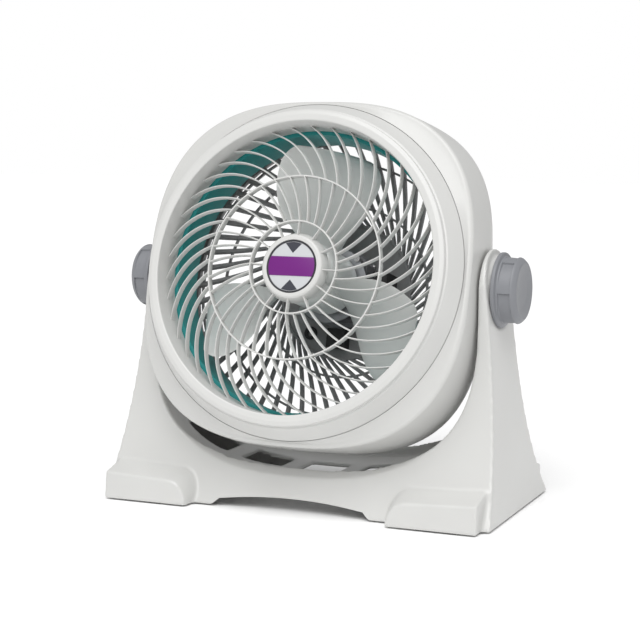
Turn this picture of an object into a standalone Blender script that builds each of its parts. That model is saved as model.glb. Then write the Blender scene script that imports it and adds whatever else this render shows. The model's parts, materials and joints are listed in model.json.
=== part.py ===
"""Pivoting floor fan.

A round front grille sits in a rounded-square head. The head tilts between two
arms of a hollow stand, and a clamping knob on each side holds it. Inside are
an open-frame motor, a three-bladed wheel, a speed switch and its dial.

Units are metres, +Z is up and the fan blows towards -Y. The origin is on the
floor under the middle of the whole fan. Head pieces are modelled in the head's
own frame: the tilt axis is its X axis, "reach" is the distance forwards along
the fan's axis, and the whole frame is then tilted back by REST_TILT.
"""
import math

import bmesh
import bpy
from mathutils import Matrix, Vector

# ---------------------------------------------------------------- driving sizes
GAP = 0.0003                 # space left between pieces that touch
WALL = 0.0025                # wall of the moulded plastic shells
REST_TILT = math.radians(15.7)
HEAD_SEGMENTS = 56           # facets round the head, the same on pieces that seat together

# Air duct and blade wheel: radii from the fan's axis, reaches from the tilt axis
BLADE_R = 0.126
TIP_GAP = 0.0085
DUCT_WALL = 0.0022
DUCT_BACK = 0.0115
BLADES = 3
BLADE_THICK = 0.0020
BLADE_FRONT = 0.0590
BLADE_BACK = -0.0010
BLADE_PHASE = math.radians(89.0)
BLADE_CORNER = 0.0140        # rounding of a blade's tip corners
BLADE_CAMBER = 0.0050
BLADE_WASH = 0.0050          # how much flatter a blade is at its tip than at mid-span
BLADE_MID_R = 0.0800
BLADE_SPAN = 0.0400          # radius step of the edge curves below
REAR_EDGE = (-25.2, -4.5, 5.2, 1.5)      # degrees, by powers of the radius step
FRONT_EDGE = (26.6, -3.5, -8.8, 3.9)
HUB_R = 0.0310

# Front grille
GRILLE_STEP = 0.0055         # from the duct out to the grille's wall
LIP_WIDTH = 0.0115           # width of the rounded front lip
LIP_ROUND = 0.0045           # width of the lip's rounded outer edge
COLLAR_FLARE = 0.0102        # how far the collar spreads behind the lip
LIP_REACH = 0.0862
COLLAR_REACH = 0.0618        # where the collar meets the head's face
RIB_WIDTH = 0.0017
RIB_DEPTH = 0.0075
RIB_WALL_REACH = 0.0683      # front of the ribs at the grille's wall
RING_REACH = 0.0823          # front of the two rings
MIDDLE_RING_R = 0.0874
INNER_RING_R = 0.0442
OUTER_RIBS = 42
INNER_RIBS = 36
SPOKES = 12
OUTER_RIB_SWEEP = math.radians(27.0)
INNER_RIB_SWEEP = math.radians(13.5)
OUTER_RIB_PHASE = math.radians(65.5)
SPOKE_PHASE = math.radians(87.5)
BADGE_R = 0.0251
BADGE_THICK = 0.0015
BOSS_RIM = 0.0043            # flat ring round the badge
BOSS_SKIRT = 0.0042          # spread of the boss behind that ring
BOSS_REACH = 0.0845

# Head housing: a rounded square, |x|^n + |z|^n
SQUARENESS = 3.05
FACE_MARGIN = 0.0053         # face left beside the collar at its narrowest
FACE_REACH = 0.0575
HOUSING_BACK = -0.022
BACK_TAPER = 0.0075

# Rear grille
REAR_BARS = 54
BAR_ROOT = 0.0036            # width of a bar at the middle plate
BAR_TIP = 0.0062             # and at the rim
BAR_DEPTH = 0.0060
BAR_TWIST = math.radians(4.85)   # turn per metre of 1 / radius
REAR_PLATE_R = 0.066
REAR_RIM = 0.0075            # rim outside the bars at its narrowest
SCREW_INSET = 0.0115         # corner screws inside the rim's outline
REAR_RIM_REACH = -0.027
REAR_PLATE_REACH = -0.058    # back face of the middle plate

# Motor
SHAFT_R = 0.0040
ROTOR_R = 0.0163
AIR_GAP = 0.0005
STATOR_HALF = 0.0330
STATOR_LENGTH = 0.0220
STATOR_BACK = -0.0430
BUSH_R = 0.0065
COIL_HEIGHT = 0.0060         # how far each winding stands over the core
BRACKET_THICK = 0.0022
BUSH_NOSE = 0.0030           # how far a bush's nose stands over its bracket
MOTOR_BOLT_R = 0.0019
MOUNT_R = 0.0300             # circle of the screws that hold the motor
POST_R = 0.0045
RUN_GAP = 0.0003             # running clearance at the bushes

# Stand
ARM_GAP = 0.0018             # from the head to each arm, filled by a washer
ARM_THICK = 0.0080           # thickness of an arm at the tilt axis
ARM_TOP_R = 0.0385           # round top of an arm
ARM_LEAN = 0.107             # how far the outer face leans out per metre down
FLARE_POWER = 2.35           # shape of the arms' flare towards the floor
SWEEP_GAP = 0.0070           # from the turning head to the trough's floor
FLOOR_HEIGHT = 0.0285        # trough's floor over the ground
RIM_RISE = 0.0120            # rim of the trough over its floor
RIM_CHAMFER = 0.0070
BASE_HALF_DEPTH = 0.0910
REAR_POWER = 3.1             # the rear flares later and further than the front
REAR_SPREAD = 0.0105         # how much deeper the rear is at the ground
TROUGH_HALF = 0.0620         # half-depth of the trough's floor
PAD_PROUD = 0.0144           # how far the corner pads stand out
PAD_INNER_X = 0.103
PAD_HEIGHT = 0.026
ARCH_HALF = 0.0820
ARCH_HEIGHT = 0.0118
FOOT_PROUD = 0.0015          # shell's underside over the ground
FOOT_SIZE = (0.040, 0.014, 0.0035)
VENTS = 5
VENT_PITCH = 0.0605
VENT_SIZE = (0.045, 0.040)
VENT_LEDGE = 0.0030

# Knobs, bolts, inserts and screws
BOLT_R = 0.0048
BOLT_GAP = 0.0004
KNOB_FLANGE_R = 0.0355
KNOB_R = 0.0312
KNOB_LENGTH = 0.0235
KNOB_BOSS = 0.0020           # boss under a knob's flange, over the arm at the axis
KNOB_RIM_GAP = 0.0012        # round gap where a flange sinks into the leaning arm
KNOB_GRIPS = 6
INSERT_R = 0.0075
INSERT_LENGTH = 0.0160
SCREW_R = 0.0015
SCREW_HEAD_R = 0.0034
SCREW_HEAD = 0.0022
DIAL_R = 0.0150
DIAL_LENGTH = 0.0130
SWITCH_DROP = 0.0490         # speed switch below the fan's axis
SWITCH_NECK_R = 0.0042
STEM_R = 0.0030
STEM_GAP = 0.0004
GLAND_XZ = (-0.0330, -0.0440)
GLAND_NECK_R = 0.0053
PLATE_THICK = 0.0030         # middle plate of the rear grille

# ---------------------------------------------------------------- derived sizes
DUCT_R = BLADE_R + TIP_GAP
GRILLE_R = DUCT_R + GRILLE_STEP
LIP_R = GRILLE_R + LIP_WIDTH
COLLAR_R = LIP_R + COLLAR_FLARE
HEAD_HALF = COLLAR_R + FACE_MARGIN
BACK_HALF = HEAD_HALF - BACK_TAPER
REAR_OPEN_R = BACK_HALF - REAR_RIM
SCREW_HALF = BACK_HALF - SCREW_INSET
DUCT_FRONT = RIB_WALL_REACH - RIB_DEPTH - 0.0006
ARM_IN = HEAD_HALF + ARM_GAP
ARM_OUT = ARM_IN + ARM_THICK
SEAT_X = ARM_OUT + KNOB_BOSS
HEAD_SWEEP = math.hypot(HEAD_HALF, FACE_REACH)
FLOOR_DEPTH = HEAD_SWEEP + SWEEP_GAP
PIVOT_Z = FLOOR_DEPTH + FLOOR_HEIGHT
HEAD_FRONT = LIP_REACH * math.cos(REST_TILT) + (LIP_R - LIP_ROUND) * math.sin(REST_TILT)
PAD_REACH = BASE_HALF_DEPTH + PAD_PROUD
PIVOT_Y = (HEAD_FRONT - PAD_REACH) / 2
PAD_OUTER_X = ARM_OUT + ARM_LEAN * PIVOT_Z - 0.008
BOSS_R = BADGE_R + BOSS_RIM
STATOR_FRONT = STATOR_BACK + STATOR_LENGTH
MOTOR_BACK = STATOR_BACK - COIL_HEIGHT - BRACKET_THICK - 2 * GAP
MOTOR_FRONT = STATOR_FRONT + COIL_HEIGHT + BRACKET_THICK + 2 * GAP


# ---------------------------------------------------------------- helpers
def material(name, color, roughness, metallic=0.0):
    """Return a new Principled material."""
    mat = bpy.data.materials.new(name)
    mat.use_nodes = True
    shader = mat.node_tree.nodes["Principled BSDF"]
    shader.inputs["Base Color"].default_value = (*color, 1.0)
    shader.inputs["Roughness"].default_value = roughness
    shader.inputs["Metallic"].default_value = metallic
    return mat


def mesh_object(name, bm, mat=None, parent=None, smooth=True):
    """Turn a closed bmesh into a named object with outward faces."""
    bmesh.ops.recalc_face_normals(bm, faces=bm.faces)
    mesh = bpy.data.meshes.new(name)
    bm.to_mesh(mesh)
    bm.free()
    if smooth:
        mesh.shade_smooth()
        mesh.set_sharp_from_angle(angle=math.radians(35))
    obj = bpy.data.objects.new(name, mesh)
    bpy.context.scene.collection.objects.link(obj)
    if mat:
        mesh.materials.append(mat)
    if parent:
        obj.parent = parent
    return obj


def hidden(obj):
    """Mark an object as a tool for booleans, which the model leaves out."""
    obj.hide_render = True
    obj.display_type = "WIRE"
    return obj


def boolean(target, tool, operation):
    """Add an exact boolean with a hidden tool object."""
    mod = target.modifiers.new(tool.name, "BOOLEAN")
    mod.operation = operation
    mod.solver = "EXACT"
    mod.object = hidden(tool)
    return target


def bridge(bm, rings, closed_loop):
    """Join rings of equal length by quads, and cap the ends unless they loop."""
    count = len(rings)
    for k in range(count if closed_loop else count - 1):
        low, high = rings[k], rings[(k + 1) % count]
        size = len(low)
        for i in range(size):
            j = (i + 1) % size
            bm.faces.new((low[i], low[j], high[j], high[i]))
    if not closed_loop:
        bm.faces.new(rings[0])
        bm.faces.new(rings[-1])


def loft(point_rings, closed_loop=False):
    """Return a bmesh skinned over rings of points."""
    bm = bmesh.new()
    rings = [[bm.verts.new(point) for point in ring] for ring in point_rings]
    bridge(bm, rings, closed_loop)
    return bm


def slab(top, under):
    """Close two facing grids of points into one thin solid."""
    bm = bmesh.new()
    grids = [[[bm.verts.new(p) for p in row] for row in grid] for grid in (top, under)]
    rows, size = len(top), len(top[0])
    for grid in grids:
        for i in range(rows - 1):
            for j in range(size - 1):
                bm.faces.new((grid[i][j], grid[i][j + 1], grid[i + 1][j + 1], grid[i + 1][j]))
    first, second = grids
    for i in (0, rows - 1):
        for j in range(size - 1):
            bm.faces.new((first[i][j], first[i][j + 1], second[i][j + 1], second[i][j]))
    for j in (0, size - 1):
        for i in range(rows - 1):
            bm.faces.new((first[i][j], first[i + 1][j], second[i + 1][j], second[i][j]))
    return bm


def merge(*parts):
    """Join bmeshes that stay clear of each other into one."""
    whole = bmesh.new()
    for part in parts:
        scratch = bpy.data.meshes.new("scratch")
        part.to_mesh(scratch)
        part.free()
        whole.from_mesh(scratch)
        bpy.data.meshes.remove(scratch)
    return whole


def head_point(radius, angle, reach):
    """A point in the head's frame, from polar values about the fan's axis."""
    return Vector((radius * math.cos(angle), -reach, radius * math.sin(angle)))


def squircle(half, angle):
    """Radius of the rounded square with this half-width, in this direction."""
    c, s = abs(math.cos(angle)), abs(math.sin(angle))
    return half / (c ** SQUARENESS + s ** SQUARENESS) ** (1 / SQUARENESS)


def turned(profile, segments, closed_loop=False):
    """Turn (radius, reach) points about the fan's axis."""
    angles = [math.tau * i / segments for i in range(segments)]
    rings = [[head_point(r, a, reach) for a in angles] for r, reach in profile]
    return loft(rings, closed_loop)


def shell(stations, segments):
    """Loft (kind, radius, reach) stations, round or rounded-square, into a ring."""
    angles = [math.tau * i / segments for i in range(segments)]
    rings = []
    for kind, size, reach in stations:
        radius = squircle if kind == "square" else (lambda half, angle: half)
        rings.append([head_point(radius(size, a), a, reach) for a in angles])
    return loft(rings, closed_loop=True)


def cylinder_x(radius, x0, x1, y=0.0, z=0.0, segments=24):
    """A plain cylinder along X."""
    angles = [math.tau * i / segments for i in range(segments)]
    rings = [[Vector((x, y + radius * math.cos(a), z + radius * math.sin(a))) for a in angles]
             for x in (x0, x1)]
    return loft(rings)


def turned_x(profile, side, segments=28):
    """Turn (radius, x) points about the tilt axis, for the left or right side."""
    angles = [math.tau * i / segments for i in range(segments)]
    rings = [[Vector((side * x, r * math.cos(a), r * math.sin(a))) for a in angles]
             for r, x in profile]
    return loft(rings)


def axial_cylinder(radius, back, front, x=0.0, z=0.0, segments=16):
    """A plain cylinder along the fan's axis, about the point x, z."""
    angles = [math.tau * i / segments for i in range(segments)]
    rings = [[Vector((x + radius * math.cos(a), -reach, z + radius * math.sin(a))) for a in angles]
             for reach in (back, front)]
    return loft(rings)


def box(low, high):
    """A plain box between two corners."""
    (x0, y0, z0), (x1, y1, z1) = low, high
    outline = [(x0, y0), (x1, y0), (x1, y1), (x0, y1)]
    return loft([[Vector((x, y, z)) for x, y in outline] for z in (z0, z1)])


def prism_y(outline, y0, y1):
    """Extrude an (x, z) outline along Y."""
    return loft([[Vector((x, y, z)) for x, z in outline] for y in (y0, y1)])


def prism_x(outline, x0, x1):
    """Extrude a (y, z) outline along X."""
    return loft([[Vector((x, y, z)) for y, z in outline] for x in (x0, x1)])


def strip(path, widths, depth):
    """A bar along (radius, angle, reach) points; it runs back by depth."""
    points = [head_point(*p) for p in path]
    back = Vector((0, depth, 0))
    rings = []
    for i, point in enumerate(points):
        along = points[min(i + 1, len(points) - 1)] - points[max(i - 1, 0)]
        side = along.cross(Vector((0, 1, 0))).normalized() * widths[i] / 2
        rings.append([point - side, point + side, point + side + back, point - side + back])
    return loft(rings)


# ---------------------------------------------------------------- front grille
def outer_rib_reach(radius):
    """Front edge of an outer rib: it drops back towards the grille's wall."""
    share = (radius - MIDDLE_RING_R) / (GRILLE_R - MIDDLE_RING_R)
    return RING_REACH - (RING_REACH - RIB_WALL_REACH) * share ** 2


def rib_set(count, phase, radii, angle_of, reach_of, width, depth):
    """Ribs round the axis as one mesh of separate bars.

    The width is one value, or one for each radius.
    """
    widths = width if isinstance(width, tuple) else (width,) * len(radii)
    bars = []
    for k in range(count):
        turn = phase + math.tau * k / count
        bars.append(strip([(r, turn + angle_of(r), reach_of(r)) for r in radii], widths, depth))
    return merge(*bars)


def spread(low, high, count):
    """Evenly spaced values from low to high."""
    return [low + (high - low) * i / (count - 1) for i in range(count)]


def build_front_grille(mat, parent):
    """Lip, collar, wall, two rings, boss, curved ribs and spokes in one moulding."""
    seat = COLLAR_REACH - 0.003 + GAP
    collar = turned([
        (COLLAR_R, seat), (COLLAR_R, COLLAR_REACH), (LIP_R + 0.0010, LIP_REACH - 0.0060),
        (LIP_R - 0.0010, LIP_REACH - 0.0020), (LIP_R - LIP_ROUND, LIP_REACH), (GRILLE_R, LIP_REACH),
        (GRILLE_R - 0.0022, DUCT_FRONT + GAP), (GRILLE_R + 0.0004, DUCT_FRONT + GAP),
        (GRILLE_R + 0.0022, LIP_REACH - 0.0040), (LIP_R - 0.0042, LIP_REACH - 0.0040),
        (COLLAR_R - 0.0032, seat)], HEAD_SEGMENTS, closed_loop=True)
    ring_back = RING_REACH - RIB_DEPTH
    half = RIB_WIDTH / 2
    rings = [turned([(r - half, ring_back), (r + half, ring_back), (r + half, RING_REACH),
                     (r - half, RING_REACH)], 36, closed_loop=True)
             for r in (MIDDLE_RING_R, INNER_RING_R)]
    recess = BOSS_REACH - BADGE_THICK - GAP
    boss = turned([
        (0.004, recess - 0.0022), (BOSS_R - 0.002, recess - 0.0022),
        (BOSS_R + BOSS_SKIRT - 0.002, ring_back - 0.001), (BOSS_R + BOSS_SKIRT, ring_back - 0.001),
        (BOSS_R + 0.0006, BOSS_REACH - 0.0015), (BOSS_R - 0.0010, BOSS_REACH),
        (BADGE_R + GAP, BOSS_REACH), (BADGE_R + GAP, recess), (0.004, recess)], 30)
    grille = mesh_object("front_grille", merge(collar, boss, *rings), mat, parent)

    outer = rib_set(OUTER_RIBS, OUTER_RIB_PHASE, spread(MIDDLE_RING_R, GRILLE_R + 0.0002, 3),
                    lambda r: OUTER_RIB_SWEEP * (r - MIDDLE_RING_R) / (GRILLE_R - MIDDLE_RING_R),
                    outer_rib_reach, RIB_WIDTH, RIB_DEPTH)
    inner_span = MIDDLE_RING_R - INNER_RING_R
    inner = rib_set(INNER_RIBS, SPOKE_PHASE, (INNER_RING_R, MIDDLE_RING_R),
                    lambda r: INNER_RIB_SWEEP * max(0.0, (r - INNER_RING_R) / inner_span) ** 1.5,
                    lambda r: RING_REACH - 0.0002, RIB_WIDTH, RIB_DEPTH - 0.0006)
    spokes = rib_set(SPOKES, SPOKE_PHASE, (BOSS_R - 0.0005, INNER_RING_R), lambda r: 0.0,
                     lambda r: RING_REACH - 0.0004, RIB_WIDTH, RIB_DEPTH - 0.0010)
    for name, bars in (("outer_ribs", outer), ("inner_ribs", inner), ("spokes", spokes)):
        boolean(grille, mesh_object(name + "_tool", bars, parent=parent, smooth=False), "UNION")
    return grille


def build_badge(mat, parent):
    """Round badge that sits in the boss."""
    back = BOSS_REACH - BADGE_THICK
    return mesh_object("hub_badge", turned([
        (0.004, back), (BADGE_R, back), (BADGE_R, BOSS_REACH - 0.0003),
        (BADGE_R - 0.0003, BOSS_REACH), (0.004, BOSS_REACH)], 30), mat, parent)


# ---------------------------------------------------------------- housing
def corner_points(half):
    """Centres of the four corner screws for a rounded square of this half-width."""
    radius = squircle(half, math.pi / 4)
    return [(radius * math.cos(a), radius * math.sin(a))
            for a in (math.pi * (0.25 + 0.5 * k) for k in range(4))]


def build_housing(mat, parent):
    """Rounded-square shell with a seat for the grille, pivot and screw bosses."""
    seat = COLLAR_REACH - 0.003
    housing = mesh_object("head_housing", shell([
        ("square", BACK_HALF, HOUSING_BACK), ("square", HEAD_HALF - 0.0022, -0.008),
        ("square", HEAD_HALF, 0.006), ("square", HEAD_HALF, FACE_REACH - 0.0040),
        ("square", HEAD_HALF - 0.0030, FACE_REACH),
        ("round", COLLAR_R + GAP, COLLAR_REACH), ("round", COLLAR_R + GAP, seat),
        ("round", COLLAR_R - 0.0060, seat), ("round", COLLAR_R - 0.0060, seat - WALL),
        ("square", HEAD_HALF - WALL, FACE_REACH - 0.0065), ("square", HEAD_HALF - WALL, 0.006),
        ("square", HEAD_HALF - 0.0022 - WALL, -0.008), ("square", BACK_HALF - WALL, HOUSING_BACK)],
        HEAD_SEGMENTS), mat, parent)
    boss_r = INSERT_R + WALL + 0.001
    bosses = merge(*[cylinder_x(boss_r, side * (HEAD_HALF - INSERT_LENGTH - 0.002),
                                side * (HEAD_HALF - 0.0008)) for side in (-1, 1)])
    bores = merge(*[cylinder_x(INSERT_R + GAP, side * (HEAD_HALF - INSERT_LENGTH),
                               side * (HEAD_HALF + 0.002)) for side in (-1, 1)])
    ends = merge(*[cylinder_x(BOLT_R + BOLT_GAP, side * (HEAD_HALF - INSERT_LENGTH - 0.004),
                              side * (HEAD_HALF + 0.001)) for side in (-1, 1)])
    post_front = FACE_REACH - 0.002
    posts = merge(*[axial_cylinder(0.0050, HOUSING_BACK + 0.0005, post_front, x, z)
                    for x, z in corner_points(SCREW_HALF)])
    holes = merge(*[axial_cylinder(SCREW_R + GAP, HOUSING_BACK - 0.001, HOUSING_BACK + 0.016, x, z, 10)
                    for x, z in corner_points(SCREW_HALF)])
    for name, tool, operation in (
            ("pivot_boss", bosses, "UNION"), ("screw_post", posts, "UNION"),
            ("pivot_bore", bores, "DIFFERENCE"), ("pivot_end", ends, "DIFFERENCE"),
            ("screw_hole", holes, "DIFFERENCE")):
        boolean(housing, mesh_object(name + "_tool", tool, parent=parent, smooth=False), operation)
    return housing


def build_inserts(mats, parent):
    """Threaded metal inserts and friction washers at the two pivots."""
    for name, side in (("left", -1), ("right", 1)):
        inner = HEAD_HALF - INSERT_LENGTH + GAP
        mesh_object("pivot_insert_" + name, ring_x(BOLT_R + BOLT_GAP / 2, INSERT_R, inner, HEAD_HALF,
                                                   side), mats["brass"], parent)
        mesh_object("friction_washer_" + name, ring_x(INSERT_R + 0.002, 0.0170, HEAD_HALF + GAP,
                                                      ARM_IN - GAP, side), mats["rubber"], parent)


def ring_x(bore, outer, x0, x1, side, segments=24):
    """A plain ring about the tilt axis."""
    angles = [math.tau * i / segments for i in range(segments)]
    profile = [(bore, x0), (outer, x0), (outer, x1), (bore, x1)]
    rings = [[Vector((side * x, r * math.cos(a), r * math.sin(a))) for a in angles]
             for r, x in profile]
    return loft(rings, closed_loop=True)


# ---------------------------------------------------------------- rear grille
def rear_reach(radius):
    """Back of the domed rear grille at this radius."""
    share = (radius - REAR_PLATE_R) / (REAR_OPEN_R - REAR_PLATE_R)
    return REAR_PLATE_REACH + (REAR_RIM_REACH - REAR_PLATE_REACH) * max(0.0, share) ** 2


def build_rear_grille(mat, parent):
    """Rounded-square rim, spiral bars and the plate that holds the motor."""
    rim = shell([
        ("square", BACK_HALF - GAP, HOUSING_BACK - GAP),
        ("square", BACK_HALF - 0.0020, HOUSING_BACK - 0.0040),
        ("square", BACK_HALF - 0.0060, HOUSING_BACK - 0.0075),
        ("round", REAR_OPEN_R + 0.0010, REAR_RIM_REACH - 0.0030),
        ("round", REAR_OPEN_R - 0.0020, REAR_RIM_REACH - 0.0010),
        ("round", REAR_OPEN_R - 0.0020, HOUSING_BACK - GAP)],
        HEAD_SEGMENTS)
    plate_front = REAR_PLATE_REACH + PLATE_THICK
    plate = turned([(0.0045, REAR_PLATE_REACH), (REAR_PLATE_R, REAR_PLATE_REACH),
                    (REAR_PLATE_R, REAR_PLATE_REACH + BAR_DEPTH),
                    (REAR_PLATE_R - WALL, REAR_PLATE_REACH + BAR_DEPTH),
                    (REAR_PLATE_R - WALL, plate_front), (0.0045, plate_front)], 36)
    grille = mesh_object("rear_grille", merge(rim, plate), mat, parent)

    def path_angle(radius):
        return -BAR_TWIST / radius

    radii = (REAR_PLATE_R - 0.0012, (REAR_PLATE_R + REAR_OPEN_R) / 2, REAR_OPEN_R - 0.0004)
    bars = rib_set(REAR_BARS, 0.02, radii, path_angle,
                   lambda r: rear_reach(r) + BAR_DEPTH - 0.0004,
                   (BAR_ROOT, (BAR_ROOT + BAR_TIP) / 2, BAR_TIP), BAR_DEPTH - 0.0008)
    boolean(grille, mesh_object("rear_bars_tool", bars, parent=parent, smooth=False), "UNION")
    posts = [axial_cylinder(POST_R, REAR_PLATE_REACH + 0.0010, MOTOR_BACK - GAP, x, z, 14)
             for x, z in mount_points()]
    boolean(grille, mesh_object("motor_post_tool", merge(*posts), parent=parent, smooth=False), "UNION")
    holes = [axial_cylinder(SCREW_R + GAP, HOUSING_BACK - 0.02, HOUSING_BACK + 0.01, x, z, 10)
             for x, z in corner_points(SCREW_HALF)]
    seats = [axial_cylinder(SCREW_HEAD_R + 0.0006, HOUSING_BACK - 0.03, HOUSING_BACK - 0.0040, x, z, 12)
             for x, z in corner_points(SCREW_HALF)]
    plate_holes = [axial_cylinder(SCREW_R + GAP, REAR_PLATE_REACH - 0.002, MOTOR_BACK + 0.002, x, z, 10)
                   for x, z in mount_points()]
    sockets = [axial_cylinder(SWITCH_NECK_R + STEM_GAP, REAR_PLATE_REACH - 0.002, plate_front + 0.002,
                               0.0, -SWITCH_DROP, 16),
               axial_cylinder(GLAND_NECK_R + GAP, REAR_PLATE_REACH - 0.002, plate_front + 0.002,
                               *GLAND_XZ, 16)]
    for name, tools in (("rim_hole", merge(*holes)), ("rim_seat", merge(*seats)),
                        ("plate_hole", merge(*plate_holes, *sockets))):
        boolean(grille, mesh_object(name + "_tool", tools, parent=parent, smooth=False), "DIFFERENCE")
    return grille


def mount_points():
    """Places of the three screws that hold the motor to the rear plate."""
    return [(MOUNT_R * math.cos(a), MOUNT_R * math.sin(a))
            for a in (math.radians(90 + 120 * k) for k in range(3))]


def screw(name, x, z, head_back, length, mats, parent):
    """A pan-head screw along the fan's axis that enters from behind."""
    shank = head_back + SCREW_HEAD
    profile = [(SCREW_HEAD_R * 0.6, head_back), (SCREW_HEAD_R, head_back + 0.0010),
               (SCREW_HEAD_R, shank), (SCREW_R, shank), (SCREW_R, shank + length)]
    bm = turned(profile, 8)
    bmesh.ops.translate(bm, verts=bm.verts, vec=Vector((x, 0, z)))
    return mesh_object(name, bm, mats["steel"], parent)


def build_screws(mats, parent):
    """Corner screws of the rear grille and the motor's mounting screws."""
    head_back = HOUSING_BACK - 0.0040 + GAP - SCREW_HEAD - 2 * GAP
    for k, (x, z) in enumerate(corner_points(SCREW_HALF), 1):
        screw(f"grille_screw_{k}", x, z, head_back, 0.014, mats, parent)
    for k, (x, z) in enumerate(mount_points(), 1):
        screw(f"mount_screw_{k}", x, z, REAR_PLATE_REACH - SCREW_HEAD - GAP,
              MOTOR_BACK + BRACKET_THICK - REAR_PLATE_REACH, mats, parent)


# ---------------------------------------------------------------- duct and motor
def build_duct(mat, parent):
    """Coloured air duct round the blades, with a flange behind the grille."""
    flange_r = COLLAR_R - 0.0075
    return mesh_object("duct_ring", turned([
        (DUCT_R, DUCT_FRONT), (DUCT_R, DUCT_BACK), (DUCT_R + DUCT_WALL, DUCT_BACK),
        (DUCT_R + DUCT_WALL, DUCT_FRONT - 0.0030), (flange_r, DUCT_FRONT - 0.0030),
        (flange_r, DUCT_FRONT)], 54, closed_loop=True), mat, parent)


def build_motor(mats, parent):
    """Open-frame motor: brackets, laminated stator, windings, bushes and bolts."""
    core_front, coil = STATOR_FRONT, COIL_HEIGHT
    bore = ROTOR_R + AIR_GAP
    bolt_r, corner = MOTOR_BOLT_R, STATOR_HALF * 0.80
    bolt_points = [(sx * corner, sz * corner) for sx in (-1, 1) for sz in (-1, 1)]

    outline = [(x, z) for x, z in ((-1, -0.72), (-0.72, -1), (0.72, -1), (1, -0.72),
                                   (1, 0.72), (0.72, 1), (-0.72, 1), (-1, 0.72))]
    core = loft([[Vector((x * STATOR_HALF, -reach, z * STATOR_HALF)) for x, z in outline]
                 for reach in (STATOR_BACK, core_front)])
    stator = mesh_object("stator_core", core, mats["lamination"], parent, smooth=False)
    cuts = merge(axial_cylinder(bore, STATOR_BACK - 0.002, core_front + 0.002, segments=32),
                 *[axial_cylinder(bolt_r + GAP, STATOR_BACK - 0.002, core_front + 0.002, x, z, 10)
                   for x, z in bolt_points])
    boolean(stator, mesh_object("stator_bore_tool", cuts, parent=parent, smooth=False), "DIFFERENCE")

    for name, back in (("rear", STATOR_BACK - coil - GAP), ("front", core_front + GAP)):
        mesh_object("winding_" + name, turned([
            (bore + 0.001, back), (STATOR_HALF * 0.80, back), (STATOR_HALF * 0.86, back + coil / 2),
            (STATOR_HALF * 0.80, back + coil), (bore + 0.001, back + coil)], 24, closed_loop=True),
            mats["copper"], parent)

    plate = BRACKET_THICK
    rear_face, front_face = MOTOR_BACK + plate, MOTOR_FRONT - plate
    for name, inner, sign in (("rear", rear_face, -1), ("front", front_face, 1)):
        outer = inner + sign * plate
        low, high = sorted((inner, outer))
        hub = outer + sign * BUSH_NOSE
        disc = turned([(BUSH_R + GAP, inner), (STATOR_HALF * 1.16, inner), (STATOR_HALF * 1.16, outer),
                       (BUSH_R + 0.0025, outer), (BUSH_R + 0.0025, hub), (BUSH_R + GAP, hub)],
                      24, closed_loop=True)
        bracket = mesh_object("motor_bracket_" + name, disc, mats["zinc"], parent)
        drill = [axial_cylinder(bolt_r + GAP, low - 0.01, high + 0.01, x, z, 10) for x, z in bolt_points]
        if name == "rear":
            drill += [axial_cylinder(SCREW_R + GAP, low - 0.01, high + 0.01, x, z, 10)
                      for x, z in mount_points()]
        boolean(bracket, mesh_object(name + "_drill_tool", merge(*drill), parent=parent, smooth=False),
                "DIFFERENCE")
        mesh_object("bush_" + name, turned([
            (SHAFT_R + RUN_GAP, inner), (BUSH_R, inner), (BUSH_R, hub), (SHAFT_R + RUN_GAP, hub)],
            16, closed_loop=True), mats["brass"], parent)

    bolt_back, bolt_front = MOTOR_BACK - GAP, MOTOR_FRONT + GAP
    for k, (x, z) in enumerate(bolt_points, 1):
        bm = turned([(0.0032, bolt_back - 0.002), (0.0032, bolt_back), (bolt_r, bolt_back),
                     (bolt_r, bolt_front), (0.0032, bolt_front), (0.0032, bolt_front + 0.002)], 8)
        bmesh.ops.translate(bm, verts=bm.verts, vec=Vector((x, 0, z)))
        mesh_object(f"motor_bolt_{k}", bm, mats["steel"], parent)


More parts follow.
